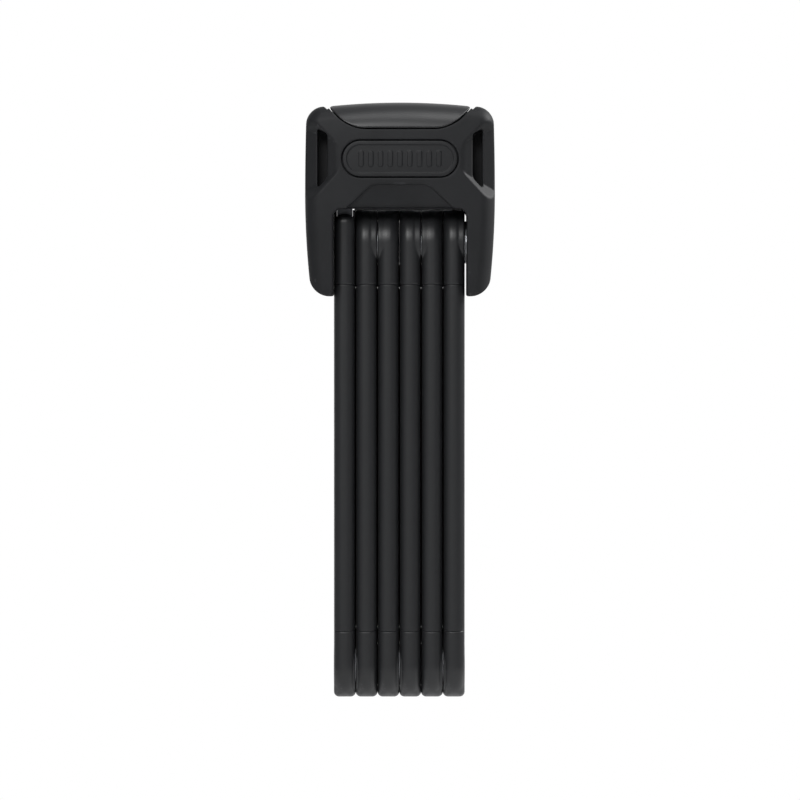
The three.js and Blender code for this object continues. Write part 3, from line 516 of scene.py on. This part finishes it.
def end_cover(seam_reach, end, square=False):
    """Distance to an end cover. Its pivot is at the origin, its end points down, and its boss faces -X."""
    def distance(x, y, z):
        side = np.abs(x) - half_thickness(y)
        both_sides = square or end == "lower"
        apex = (1 - smooth(np.abs(y), 3.0, 6.5)) * ((x > 0) | both_sides)
        roll = BAR_ROLL - (BAR_ROLL - APEX_ROLL[end]) * apex
        if square:
            outline = carve(np.abs(y) - BAR_RADIUS, -z - SQUARE_TOP, 3.0)
            core_end = -z - SQUARE_TOP + SQUARE_WALL
            pocket = all_of(np.abs(x) - CORE_HALF, np.abs(y) - CORE_RADIUS, core_end)
            tongue_way = np.maximum(np.abs(x) - CORE_HALF, np.abs(y) - TONGUE_HALF)
            pocket = np.minimum(pocket, tongue_way)
        else:
            outline = np.hypot(y, np.minimum(z, 0)) - BAR_RADIUS
            pocket = np.maximum(np.hypot(y, np.minimum(z, 0)) - CORE_RADIUS, np.abs(x) - CORE_HALF)
        shape = carve(outline, side, roll)
        if square:
            collar = carve(np.abs(y) - COLLAR_HALF, -z - COLLAR_TOP, 1.0)
            shape = np.minimum(shape, carve(collar, side, 0.4))
        else:
            boss = carve(np.hypot(y, z) - BOSS_RADIUS[end], side, 0.3)
            shape = np.minimum(shape, np.maximum(boss, x))
        shape = carve(shape, z - seam_reach + SEAM_GAP - seam(y), SEAM_EDGE)
        shape = np.maximum(shape, -pocket)
        return shape if square else carve(shape, RIVET_HOLE - np.hypot(y, z), 0.25)
    return distance


# %% Make the end covers
def cover_mesh(name, seam_reach, end, square=False):
    low = [-BAR_HALF, -BAR_RADIUS, -BAR_RADIUS]
    high = [BAR_HALF, BAR_RADIUS, seam_reach + SEAM_BOW]
    return moulded(name, end_cover(seam_reach, end, square), low, high, 0.3)


def placed_copy(source, name, flip, shift):
    """A mirrored and moved copy. An odd number of mirrors turns the faces round again."""
    mesh = source.data.copy()
    flat = np.empty(len(mesh.vertices) * 3, np.float32)
    mesh.vertices.foreach_get("co", flat)
    points = flat.reshape(-1, 3) * flip + np.array(shift) * MM
    mesh.vertices.foreach_set("co", points.astype(np.float32).ravel())
    if np.prod(flip) < 0:
        mesh.flip_normals()
    mesh.name = name
    piece = bpy.data.objects.new(name, mesh)
    bpy.context.scene.collection.objects.link(piece)
    return piece


lower_source = cover_mesh("lower_source", LOWER_SEAM, "lower")
upper_source = cover_mesh("upper_source", UPPER_SEAM, "upper")
square_source = cover_mesh("square_source", UPPER_SEAM, "upper", square=True)
bar_pieces = {k: [] for k in BARS}
for k in BARS:
    lower_side = 1 if k % 2 == 1 else -1
    source = square_source if k == LAST else upper_source
    foot_place = [bar_x[k], 0, LOWER_PIVOT]
    crown_place = [bar_x[k], 0, UPPER_PIVOT]
    lower = placed_copy(lower_source, f"bar_{k}_foot", [lower_side, 1, 1], foot_place)
    upper = placed_copy(source, f"bar_{k}_crown", [-lower_side, 1, -1], crown_place)
    bar_pieces[k] += [(lower, f"bar_{k}_lower_cover"), (upper, f"bar_{k}_upper_cover")]
for source in (lower_source, upper_source, square_source):
    bpy.data.objects.remove(source)

# %% [markdown]
# ## Sleeves
# A sleeve is one section from seam to seam, so it is lofted: rings of points round the section, a few of
# them close together at each end where the lip is rolled, and the same rings inside for the bore.

# %% Make the sleeves
def section_ring(half_x, half_y, roll, crown=0.0):
    """Points round a section: four rolled corners, and two long sides that may swell by crown."""
    angles = np.linspace(0, math.pi / 2, 14)
    along = np.linspace(1, -1, 11)[1:-1]
    side = np.stack([half_x + crown * (1 - along**2), (half_y - roll) * along], 1)
    ring = []
    for turn, (sx, sy) in enumerate([(1, 1), (-1, 1), (-1, -1), (1, -1)]):
        a = angles + turn * math.pi / 2
        corner = np.array([sx * (half_x - roll), sy * (half_y - roll)])
        ring.append(corner + roll * np.stack([np.cos(a), np.sin(a)], 1))
        if turn in (1, 3):
            ring.append(side * (sx, sy))
    return np.concatenate(ring)


def sleeve(name, x_middle):
    outer = section_ring(BAR_HALF, BAR_RADIUS, BAR_ROLL, CROWN)
    inner = section_ring(CORE_HALF, CORE_RADIUS, 0.5)
    quarter = np.linspace(0, math.pi / 2, 5)
    rows = [(SEAM_EDGE * (1 - math.sin(a)), SEAM_EDGE * (1 - math.cos(a))) for a in quarter]
    low_z, high_z = bar_low[2], bar_high[2]
    rings = []
    for inset, rise in rows + [(0, 0.8), (0, 2.5)]:
        ring = section_ring(BAR_HALF - inset, BAR_RADIUS - inset, BAR_ROLL - inset, CROWN)
        rings.append(np.column_stack([ring, low_z + rise + seam(ring[:, 1])]))
    for share in (0.25, 0.5, 0.75):
        z = low_z + (high_z - low_z) * share
        rings.append(np.column_stack([outer, np.full(len(outer), z)]))
    for inset, rise in reversed(rows + [(0, 0.8), (0, 2.5)]):
        ring = section_ring(BAR_HALF - inset, BAR_RADIUS - inset, BAR_ROLL - inset, CROWN)
        rings.append(np.column_stack([ring, high_z - rise - seam(ring[:, 1])]))
    rings.append(np.column_stack([inner, high_z - seam(inner[:, 1])]))
    rings.append(np.column_stack([inner, low_z + seam(inner[:, 1])]))
    points = np.concatenate(rings) + np.array([x_middle, 0, 0])
    n = len(outer)
    faces = []
    for r in range(len(rings)):
        s = (r + 1) % len(rings)
        faces += [(r * n + i, r * n + (i + 1) % n, s * n + (i + 1) % n, s * n + i) for i in range(n)]
    return new_object(name, points, faces)


for k in BARS:
    bar_pieces[k].append((sleeve(f"bar_{k}_jacket", bar_x[k]), f"bar_{k}_sleeve"))
print("sleeves run from z =", round(bar_low[2], 1), "to", round(bar_high[2], 1))

# %% [markdown]
# ## Rivets and screws
# A set rivet's head is faintly dished, with a small dimple where the tool's centre stood and a rolled
# rim. It is round, so its outline is spun about its axis. The cover screws have a hexagon socket.

# %% Make the rivets
RIVET_PROUD = 0.23
RIVET_HEAD_THICK = 0.83
RIM_ROLL = 0.3
SHANK_RADIUS = 4.0


def spun(name, outline, x_middle, z_middle, segments=72):
    """A solid turned about X. outline is (along x, radius) pairs, from axis to axis."""
    turns = np.linspace(0, 2 * math.pi, segments, endpoint=False)
    body = outline[1:-1]
    points = [[outline[0][0], 0, 0], [outline[-1][0], 0, 0]]
    for along, radius in body:
        points += [[along, radius * math.cos(t), radius * math.sin(t)] for t in turns]
    faces = []
    for i in range(segments):
        j = (i + 1) % segments
        faces.append((0, 2 + j, 2 + i))
        for r in range(len(body) - 1):
            a, b = 2 + r * segments, 2 + (r + 1) * segments
            faces.append((a + i, a + j, b + j, b + i))
        last = 2 + (len(body) - 1) * segments
        faces.append((last + i, last + j, 1))
    piece = new_object(name, np.array(points), faces)
    piece.location = (x_middle * MM, 0, z_middle * MM)
    return piece


def rivet(name, node):
    low, high = span(node)
    half = (high[0] - low[0]) / 2 + RIVET_PROUD
    radius = high[1]
    under = half - RIVET_HEAD_THICK
    quarter = np.linspace(0, math.pi / 2, 5)
    rim_x = [half - RIM_ROLL + RIM_ROLL * math.sin(a) for a in quarter]
    rim_r = [radius - RIM_ROLL + RIM_ROLL * math.cos(a) for a in quarter]
    rim = list(zip(rim_x, rim_r))
    face = [(half, radius - 0.9), (half - 0.12, radius - 1.4), (half - 0.18, 3.0), (half - 0.16, 1.5)]
    dimple = [(half - 0.24, 1.2), (half - 0.42, 0.6), (half - 0.46, 0)]
    right = [(under, SHANK_RADIUS), (under, radius), *rim, *face, *dimple]
    left = [(-along, r) for along, r in reversed(right)]
    return spun(name, left + right, (low[0] + high[0]) / 2, (low[2] + high[2]) / 2)


rivets = {}
for node in sorted(nodes):
    if node.endswith("_rivet"):
        rivets[node] = rivet(node.replace("_rivet", "_pin"), node)
print("rivets:", len(rivets))

# %% Make the cover screws
SCREW_HEAD_RADIUS = 2.2
SCREW_HEAD_TALL = 2.5
SCREW_SHANK_RADIUS = 1.1
SOCKET_HALF = 1.15
SOCKET_DEPTH = 1.4


def cover_screw(x_middle):
    def distance(x, y, z):
        radius = np.hypot(x - x_middle, z - SCREW_Z)
        head = carve(radius - SCREW_HEAD_RADIUS, y - screw_high[1], 0.35)
        head = carve(head, screw_high[1] - SCREW_HEAD_TALL - y, 0.1)
        shank = all_of(radius - SCREW_SHANK_RADIUS, y - screw_high[1] + 1, screw_low[1] - y)
        ax, az = np.abs(x - x_middle), np.abs(z - SCREW_Z)
        hexagon = np.maximum(ax, 0.5 * ax + 0.866 * az) - SOCKET_HALF
        socket = np.maximum(hexagon, screw_high[1] - SOCKET_DEPTH - y)
        return carve(np.minimum(head, shank), -socket, 0.08)
    return distance


screws = {}
for side, name in ((-1, "left"), (1, "right")):
    low, high = span(f"cover_screw_{name}")
    screws[f"cover_screw_{name}"] = moulded(f"screw_{name}", cover_screw(side * SCREW_X), low, high, 0.16)

# %% [markdown]
# ## Effects that several finishes share
# A moulded grain, a slow drift in sheen, a painted highlight along rolled edges and fine scratches show on
# more than one part. Each is a node group, built once, and every material sets its own strengths.

# %% Helpers for node groups
def new_group(name, inputs, outputs):
    tree = bpy.data.node_groups.new(name, "ShaderNodeTree")
    for label, kind, value in inputs:
        socket = tree.interface.new_socket(label, in_out="INPUT", socket_type=kind)
        socket.default_value = value
    for label, kind in outputs:
        tree.interface.new_socket(label, in_out="OUTPUT", socket_type=kind)
    return tree, tree.nodes.new("NodeGroupInput"), tree.nodes.new("NodeGroupOutput")


def add(tree, kind, links=(), **settings):
    """A new node with its settings, and its inputs linked or set from (input, source) pairs."""
    node = tree.nodes.new(kind)
    for key, value in settings.items():
        setattr(node, key, value)
    for target, source in links:
        if isinstance(source, bpy.types.NodeSocket):
            tree.links.new(source, node.inputs[target])
        else:
            node.inputs[target].default_value = source
    return node


def sum_up(tree, operation, a, b, clamp=False):
    return add(tree, "ShaderNodeMath", [(0, a), (1, b)], operation=operation, use_clamp=clamp).outputs[0]


# %% Group: moulded grain
def make_grain_group():
    inputs = [("Grain per metre", "NodeSocketFloat", 3000.0), ("Drift per metre", "NodeSocketFloat", 70.0)]
    outputs = [("Height", "NodeSocketFloat"), ("Drift", "NodeSocketFloat")]
    tree, given, out = new_group("Moulded grain", inputs, outputs)
    place = add(tree, "ShaderNodeTexCoord").outputs["Object"]
    grain_scale = given.outputs["Grain per metre"]
    drift_scale = given.outputs["Drift per metre"]
    fine = add(tree, "ShaderNodeTexNoise", [("Vector", place), ("Scale", grain_scale), ("Detail", 2.5)])
    pebble_links = [("Vector", place), ("Scale", grain_scale)]
    pebble = add(tree, "ShaderNodeTexVoronoi", pebble_links, feature="SMOOTH_F1")
    slow = add(tree, "ShaderNodeTexNoise", [("Vector", place), ("Scale", drift_scale), ("Detail", 3.0)])
    both = sum_up(tree, "ADD", fine.outputs["Fac"], pebble.outputs["Distance"])
    tree.links.new(sum_up(tree, "MULTIPLY", both, 0.5), out.inputs["Height"])
    tree.links.new(slow.outputs["Fac"], out.inputs["Drift"])
    return tree


# %% Group: painted edge highlight
# Painted highlight: this mask picks out convex rolled edges by their pointiness, so that they can be coloured
# lighter as if they caught the light.
def make_edge_highlight_group():
    inputs = [("Gain", "NodeSocketFloat", 8.0), ("Breakup per metre", "NodeSocketFloat", 400.0)]
    tree, given, out = new_group("Painted edge highlight", inputs, [("Mask", "NodeSocketFloat")])
    place = add(tree, "ShaderNodeTexCoord").outputs["Object"]
    point = add(tree, "ShaderNodeNewGeometry").outputs["Pointiness"]
    breakup = given.outputs["Breakup per metre"]
    rough = add(tree, "ShaderNodeTexNoise", [("Vector", place), ("Scale", breakup), ("Detail", 4.0)])
    ridge = sum_up(tree, "SUBTRACT", point, 0.52)
    edge = sum_up(tree, "MULTIPLY", ridge, given.outputs["Gain"], clamp=True)
    tree.links.new(sum_up(tree, "MULTIPLY", edge, rough.outputs["Fac"], clamp=True), out.inputs["Mask"])
    return tree


# %% Group: fine scratches
def make_scratch_group():
    inputs = [
        ("Lines per metre", "NodeSocketFloat", 2600.0),
        ("Stretch", "NodeSocketVector", (1.0, 1.0, 0.02)),
    ]
    tree, given, out = new_group("Fine scratches", inputs, [("Height", "NodeSocketFloat")])
    place = add(tree, "ShaderNodeTexCoord").outputs["Object"]
    stretched = [(0, place), (1, given.outputs["Stretch"])]
    drawn = add(tree, "ShaderNodeVectorMath", stretched, operation="MULTIPLY").outputs[0]
    density = given.outputs["Lines per metre"]
    lines = add(tree, "ShaderNodeTexNoise", [("Vector", drawn), ("Scale", density), ("Detail", 3.0)])
    tree.links.new(lines.outputs["Fac"], out.inputs["Height"])
    return tree


# %% Group: turned rings
def make_ring_group():
    inputs = [("Rings per metre", "NodeSocketFloat", 2500.0)]
    tree, given, out = new_group("Turned rings", inputs, [("Height", "NodeSocketFloat")])
    place = add(tree, "ShaderNodeTexCoord").outputs["Object"]
    off_axis = [(0, place), (1, (0.0, 1.0, 1.0))]
    flat = add(tree, "ShaderNodeVectorMath", off_axis, operation="MULTIPLY").outputs[0]
    reach = add(tree, "ShaderNodeVectorMath", [(0, flat)], operation="LENGTH").outputs["Value"]
    line = add(tree, "ShaderNodeCombineXYZ", [("X", reach)]).outputs[0]
    density = given.outputs["Rings per metre"]
    rings = add(tree, "ShaderNodeTexNoise", [("Vector", line), ("Scale", density), ("Detail", 2.0)])
    tree.links.new(rings.outputs["Fac"], out.inputs["Height"])
    return tree


grain_group = make_grain_group()
edge_highlight_group = make_edge_highlight_group()
scratch_group = make_scratch_group()
ring_group = make_ring_group()
print("groups:", [group.name for group in bpy.data.node_groups])

# %% [markdown]
# ## Black plastics
# Soft-touch covers, satin cap and plain sleeves are all the same near-black, and only their grain and
# sheen tell them apart. Colour and roughness drift slowly over the surface. Along rolled edges a painted
# highlight makes them a shade lighter, and they are also a little smoother.

# %% Plastic finish
def use_group(tree, group, **values):
    node = tree.nodes.new("ShaderNodeGroup")
    node.node_tree = group
    for label, value in values.items():
        node.inputs[label.replace("_", " ")].default_value = value
    return node


def mix_colour(tree, share, a, b):
    node = add(tree, "ShaderNodeMix", data_type="RGBA")
    for slot, value in ((0, share), (6, a), (7, b)):
        if isinstance(value, bpy.types.NodeSocket):
            tree.links.new(value, node.inputs[slot])
        else:
            node.inputs[slot].default_value = value
    return node.outputs[2]


def ranged(tree, value, low, high):
    return add(tree, "ShaderNodeMapRange", [("Value", value), ("To Min", low), ("To Max", high)]).outputs[0]


def new_finish(name):
    material = bpy.data.materials.new(name)
    material.use_nodes = True
    tree = material.node_tree
    return material, tree, tree.nodes["Principled BSDF"]


def black_plastic(name, dark, light, roughness, grain, bump, specular, edge_gain=9.0):
    material, tree, shader = new_finish(name)
    moulded_grain = use_group(tree, grain_group, Grain_per_metre=grain)
    edge_highlight = use_group(tree, edge_highlight_group, Gain=edge_gain)
    drift = ranged(tree, moulded_grain.outputs["Drift"], -0.15, 1.15)
    base = mix_colour(tree, drift, (*dark, 1), (*light, 1))
    # Painted highlight: along rolled edges the colour is mixed towards a paler one, as if they caught the light.
    # The same mask also lowers the roughness there.
    highlight_colour = tuple(min(c * 2.2, 1) for c in light)
    highlighted = mix_colour(tree, edge_highlight.outputs["Mask"], base, (*highlight_colour, 1))
    tree.links.new(highlighted, shader.inputs["Base Color"])
    sheen = ranged(tree, moulded_grain.outputs["Drift"], roughness + 0.07, roughness - 0.07)
    edge_gloss = sum_up(tree, "MULTIPLY", edge_highlight.outputs["Mask"], 0.12)
    tree.links.new(sum_up(tree, "SUBTRACT", sheen, edge_gloss, clamp=True), shader.inputs["Roughness"])
    height = moulded_grain.outputs["Height"]
    relief = add(tree, "ShaderNodeBump", [("Strength", bump), ("Distance", 0.00004), ("Height", height)])
    tree.links.new(relief.outputs[0], shader.inputs["Normal"])
    shader.inputs["Specular IOR Level"].default_value = specular
    return material


DEEP_BLACK = (0.009, 0.0095, 0.0105), (0.013, 0.0135, 0.015)
SLEEVE_BLACK = (0.010, 0.0105, 0.0115), (0.015, 0.0155, 0.017)
COVER_BLACK = (0.011, 0.0115, 0.0125), (0.016, 0.0165, 0.018)
CAP_BLACK = (0.014, 0.0145, 0.0155), (0.020, 0.0205, 0.022)
RUBBER_BLACK = (0.008, 0.008, 0.009), (0.012, 0.012, 0.013)
soft_touch = black_plastic("soft_touch_cover", *COVER_BLACK, 0.58, 3200, 0.5, 0.22)
cap_satin = black_plastic("satin_cap", *CAP_BLACK, 0.42, 4200, 0.3, 0.5)
badge_black = black_plastic("badge_black", *DEEP_BLACK, 0.5, 3600, 0.4, 0.3)
sleeve_black = black_plastic("sleeve_black", *SLEEVE_BLACK, 0.42, 3000, 0.5, 0.42)
end_black = black_plastic("end_cover_black", *SLEEVE_BLACK, 0.4, 3400, 0.4, 0.45)
seal_black = black_plastic("seal_rubber", *RUBBER_BLACK, 0.75, 5200, 0.5, 0.3)

# %% [markdown]
# ## Metals
# The bars' cores are hardened steel with a drawn surface, the rivets are turned and darkened, the frame
# is coated black, and the cylinder is brass. One recipe covers them, with lines or rings for the tool's
# marks.

# %% Metal finish
def metal(name, dark, light, roughness, rings=False, metallic=1.0, bump=0.3):
    material, tree, shader = new_finish(name)
    blotch = use_group(tree, grain_group, Grain_per_metre=2600.0)
    marks = use_group(tree, ring_group) if rings else use_group(tree, scratch_group)
    tone = ranged(tree, blotch.outputs["Drift"], -0.2, 1.2)
    tree.links.new(mix_colour(tree, tone, (*dark, 1), (*light, 1)), shader.inputs["Base Color"])
    base_sheen = ranged(tree, blotch.outputs["Drift"], roughness - 0.08, roughness + 0.1)
    lines = sum_up(tree, "MULTIPLY", marks.outputs["Height"], 0.12)
    tree.links.new(sum_up(tree, "ADD", base_sheen, lines, clamp=True), shader.inputs["Roughness"])
    height = marks.outputs["Height"]
    relief = add(tree, "ShaderNodeBump", [("Strength", bump), ("Distance", 0.00003), ("Height", height)])
    tree.links.new(relief.outputs[0], shader.inputs["Normal"])
    shader.inputs["Metallic"].default_value = metallic
    return material


bar_black = metal("blackened_steel", (0.10, 0.103, 0.11), (0.17, 0.175, 0.185), 0.38)
rivet_steel = metal("turned_rivet", (0.10, 0.105, 0.112), (0.17, 0.175, 0.185), 0.32, rings=True)
washer_steel = metal("washer_steel", (0.34, 0.35, 0.37), (0.46, 0.47, 0.49), 0.3, rings=True)
frame_black = metal("coated_frame", (0.02, 0.02, 0.022), (0.04, 0.04, 0.043), 0.5, metallic=0.3)
screw_black = metal("black_screw", (0.03, 0.03, 0.033), (0.06, 0.06, 0.064), 0.38, metallic=0.6)
cylinder_brass = metal("cylinder_brass", (0.55, 0.42, 0.18), (0.72, 0.57, 0.27), 0.3)
bolt_steel = metal("bolt_steel", (0.42, 0.43, 0.45), (0.55, 0.56, 0.58), 0.3)

# %% [markdown]
# ## Fit every piece to its body
# A made piece rides on the body of the frame part that it stands for, and takes that part's material
# slot. Frame parts that stay get a finish of their own, and a narrow bevel so that their edges catch
# light.

# %% Put pieces on their bodies
slot_finish = {
    "soft_cover": soft_touch,
    "cap_plastic": cap_satin,
    "badge_plastic": badge_black,
    "bar_sleeve": sleeve_black,
    "bar_end_cover": end_black,
    "seal_rubber": seal_black,
    "bar_steel": bar_black,
    "rivet_steel": rivet_steel,
    "washer_steel": washer_steel,
    "frame_steel": frame_black,
    "screw_steel": screw_black,
    "cylinder_brass": cylinder_brass,
    "inner_steel": bolt_steel,
}
node_slot = {part["node"]: part["material_slot"] for part in frame["record"]["subparts"]}
bodies = frame["record"]["behaviour"]["bodies"]
node_body = {node: body for body, members in bodies.items() for node in members}


def stand_in(piece, node):
    """piece is shown in place of a frame part."""
    piece.data.materials.clear()
    piece.data.materials.append(slot_finish[node_slot[node]])
    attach(piece, node_body[node])
    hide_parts(node)


made = {"front_cover": front, "rear_cover": rear, "top_cap": cap_piece, "keyhole_shutter": shutter_piece}
made.update({"badge": badge_piece, **rivets, **screws})
for k in BARS:
    made.update({node: piece for piece, node in bar_pieces[k]})
for node, piece in made.items():
    stand_in(piece, node)
print("pieces made:", len(made))

# %% Finish the frame parts that stay
FRAME_BEVEL = 0.15

for name, part in nodes.items():
    if name in made:
        continue
    part.data.materials.clear()
    part.data.materials.append(slot_finish[node_slot[name]])
    bevel = part.modifiers.new("edge", "BEVEL")
    bevel.width = FRAME_BEVEL * MM
    bevel.segments = 2
    bevel.limit_method = "ANGLE"
    bevel.angle_limit = math.radians(35)
print("frame parts kept:", len(nodes) - len(made))

# %% [markdown]
# ## Studio
# A black object is lit mostly by what it reflects. The room is a quiet grey, which keeps the blacks deep,
# and turns white only far behind the lock, so that the outline stands out from the front. Soft panels put
# long, quiet highlights on the rolled edges. The floor lies well below, so the bars can be unfolded above
# it.

# %% Room and floor
FLOOR_BELOW = 0.2
FLOOR_RADIUS = 2.5
FLOOR_FORWARD = 0.6
FLOOR_SIDES = 96
WHITE_FROM, WHITE_FULL = 0.6, 0.97
ROOM_GREY = (0.18, 0.183, 0.19)


def make_room():
    world = bpy.context.scene.world or bpy.data.worlds.new("room")
    bpy.context.scene.world = world
    world.use_nodes = True
    tree = world.node_tree
    shade = tree.nodes["Background"]
    towards = add(tree, "ShaderNodeTexCoord").outputs["Generated"]
    split = add(tree, "ShaderNodeSeparateXYZ", [(0, towards)])
    limits = [("Value", split.outputs["Y"]), ("From Min", WHITE_FROM), ("From Max", WHITE_FULL)]
    back = add(tree, "ShaderNodeMapRange", limits)
    back.interpolation_type = "SMOOTHSTEP"
    wall = mix_colour(tree, back.outputs[0], (*ROOM_GREY, 1), (1, 1, 1, 1))
    tree.links.new(wall, shade.inputs["Color"])
    shade.inputs["Strength"].default_value = 1.0


def make_floor():
    points = []
    for a in np.linspace(0, 2 * math.pi, FLOOR_SIDES, endpoint=False):
        across = FLOOR_RADIUS * math.cos(a)
        along = FLOOR_RADIUS * math.sin(a) - FLOOR_FORWARD
        points.append([across, along, -FLOOR_BELOW])
    floor = new_object("floor", np.array(points) / MM, [tuple(range(FLOOR_SIDES))])
    material, tree, shader = new_finish("pale_floor")
    mottle = use_group(tree, grain_group, Grain_per_metre=300.0, Drift_per_metre=2.0)
    tone = mix_colour(tree, mottle.outputs["Drift"], (0.72, 0.72, 0.72, 1), (0.76, 0.76, 0.76, 1))
    tree.links.new(tone, shader.inputs["Base Color"])
    shader.inputs["Roughness"].default_value = 0.8
    floor.data.materials.append(material)


make_room()
make_floor()

# %% Soft panels
AIM = Vector((0.0, 0.0, 0.12))


def soft_panel(name, place, wide, high, watts):
    light = bpy.data.lights.new(name, "AREA")
    light.shape = "RECTANGLE"
    light.size = wide
    light.size_y = high
    light.energy = watts
    lamp = bpy.data.objects.new(name, light)
    lamp.location = place
    bpy.context.scene.collection.objects.link(lamp)
    lamp.rotation_euler = (AIM - Vector(place)).to_track_quat("-Z", "Y").to_euler()
    print(name, "throws", watts, "W")


soft_panel("front_panel", (-0.45, -1.35, 0.9), 0.9, 0.45, 15)
soft_panel("top_panel", (0.2, -0.3, 1.5), 0.8, 0.6, 7)
soft_panel("right_rim", (1.15, 0.4, 0.9), 0.5, 0.5, 20)

# %% [markdown]
# ## Camera
# The lock is seen square from the front with a long lens, so that the bars stay parallel. The plain
# Standard view keeps the white background white.

# %% Camera
DISTANCE = 2.0
VIEW_WIDTH = 0.2632
CENTRE_HEIGHT = 0.0985
TILT = math.radians(1.0)
lens = bpy.data.cameras.new("long_lens")
lens.lens = lens.sensor_width * DISTANCE / VIEW_WIDTH
camera = bpy.data.objects.new("camera", lens)
away = DISTANCE + HEAD_DEEP * MM
camera.location = (0.0, -away * math.cos(TILT), CENTRE_HEIGHT + away * math.sin(TILT))
camera.rotation_euler = (math.pi / 2 - TILT, 0, 0)
bpy.context.scene.collection.objects.link(camera)
bpy.context.scene.camera = camera
bpy.context.scene.view_settings.view_transform = "Standard"
print("focal length:", round(lens.lens, 1))
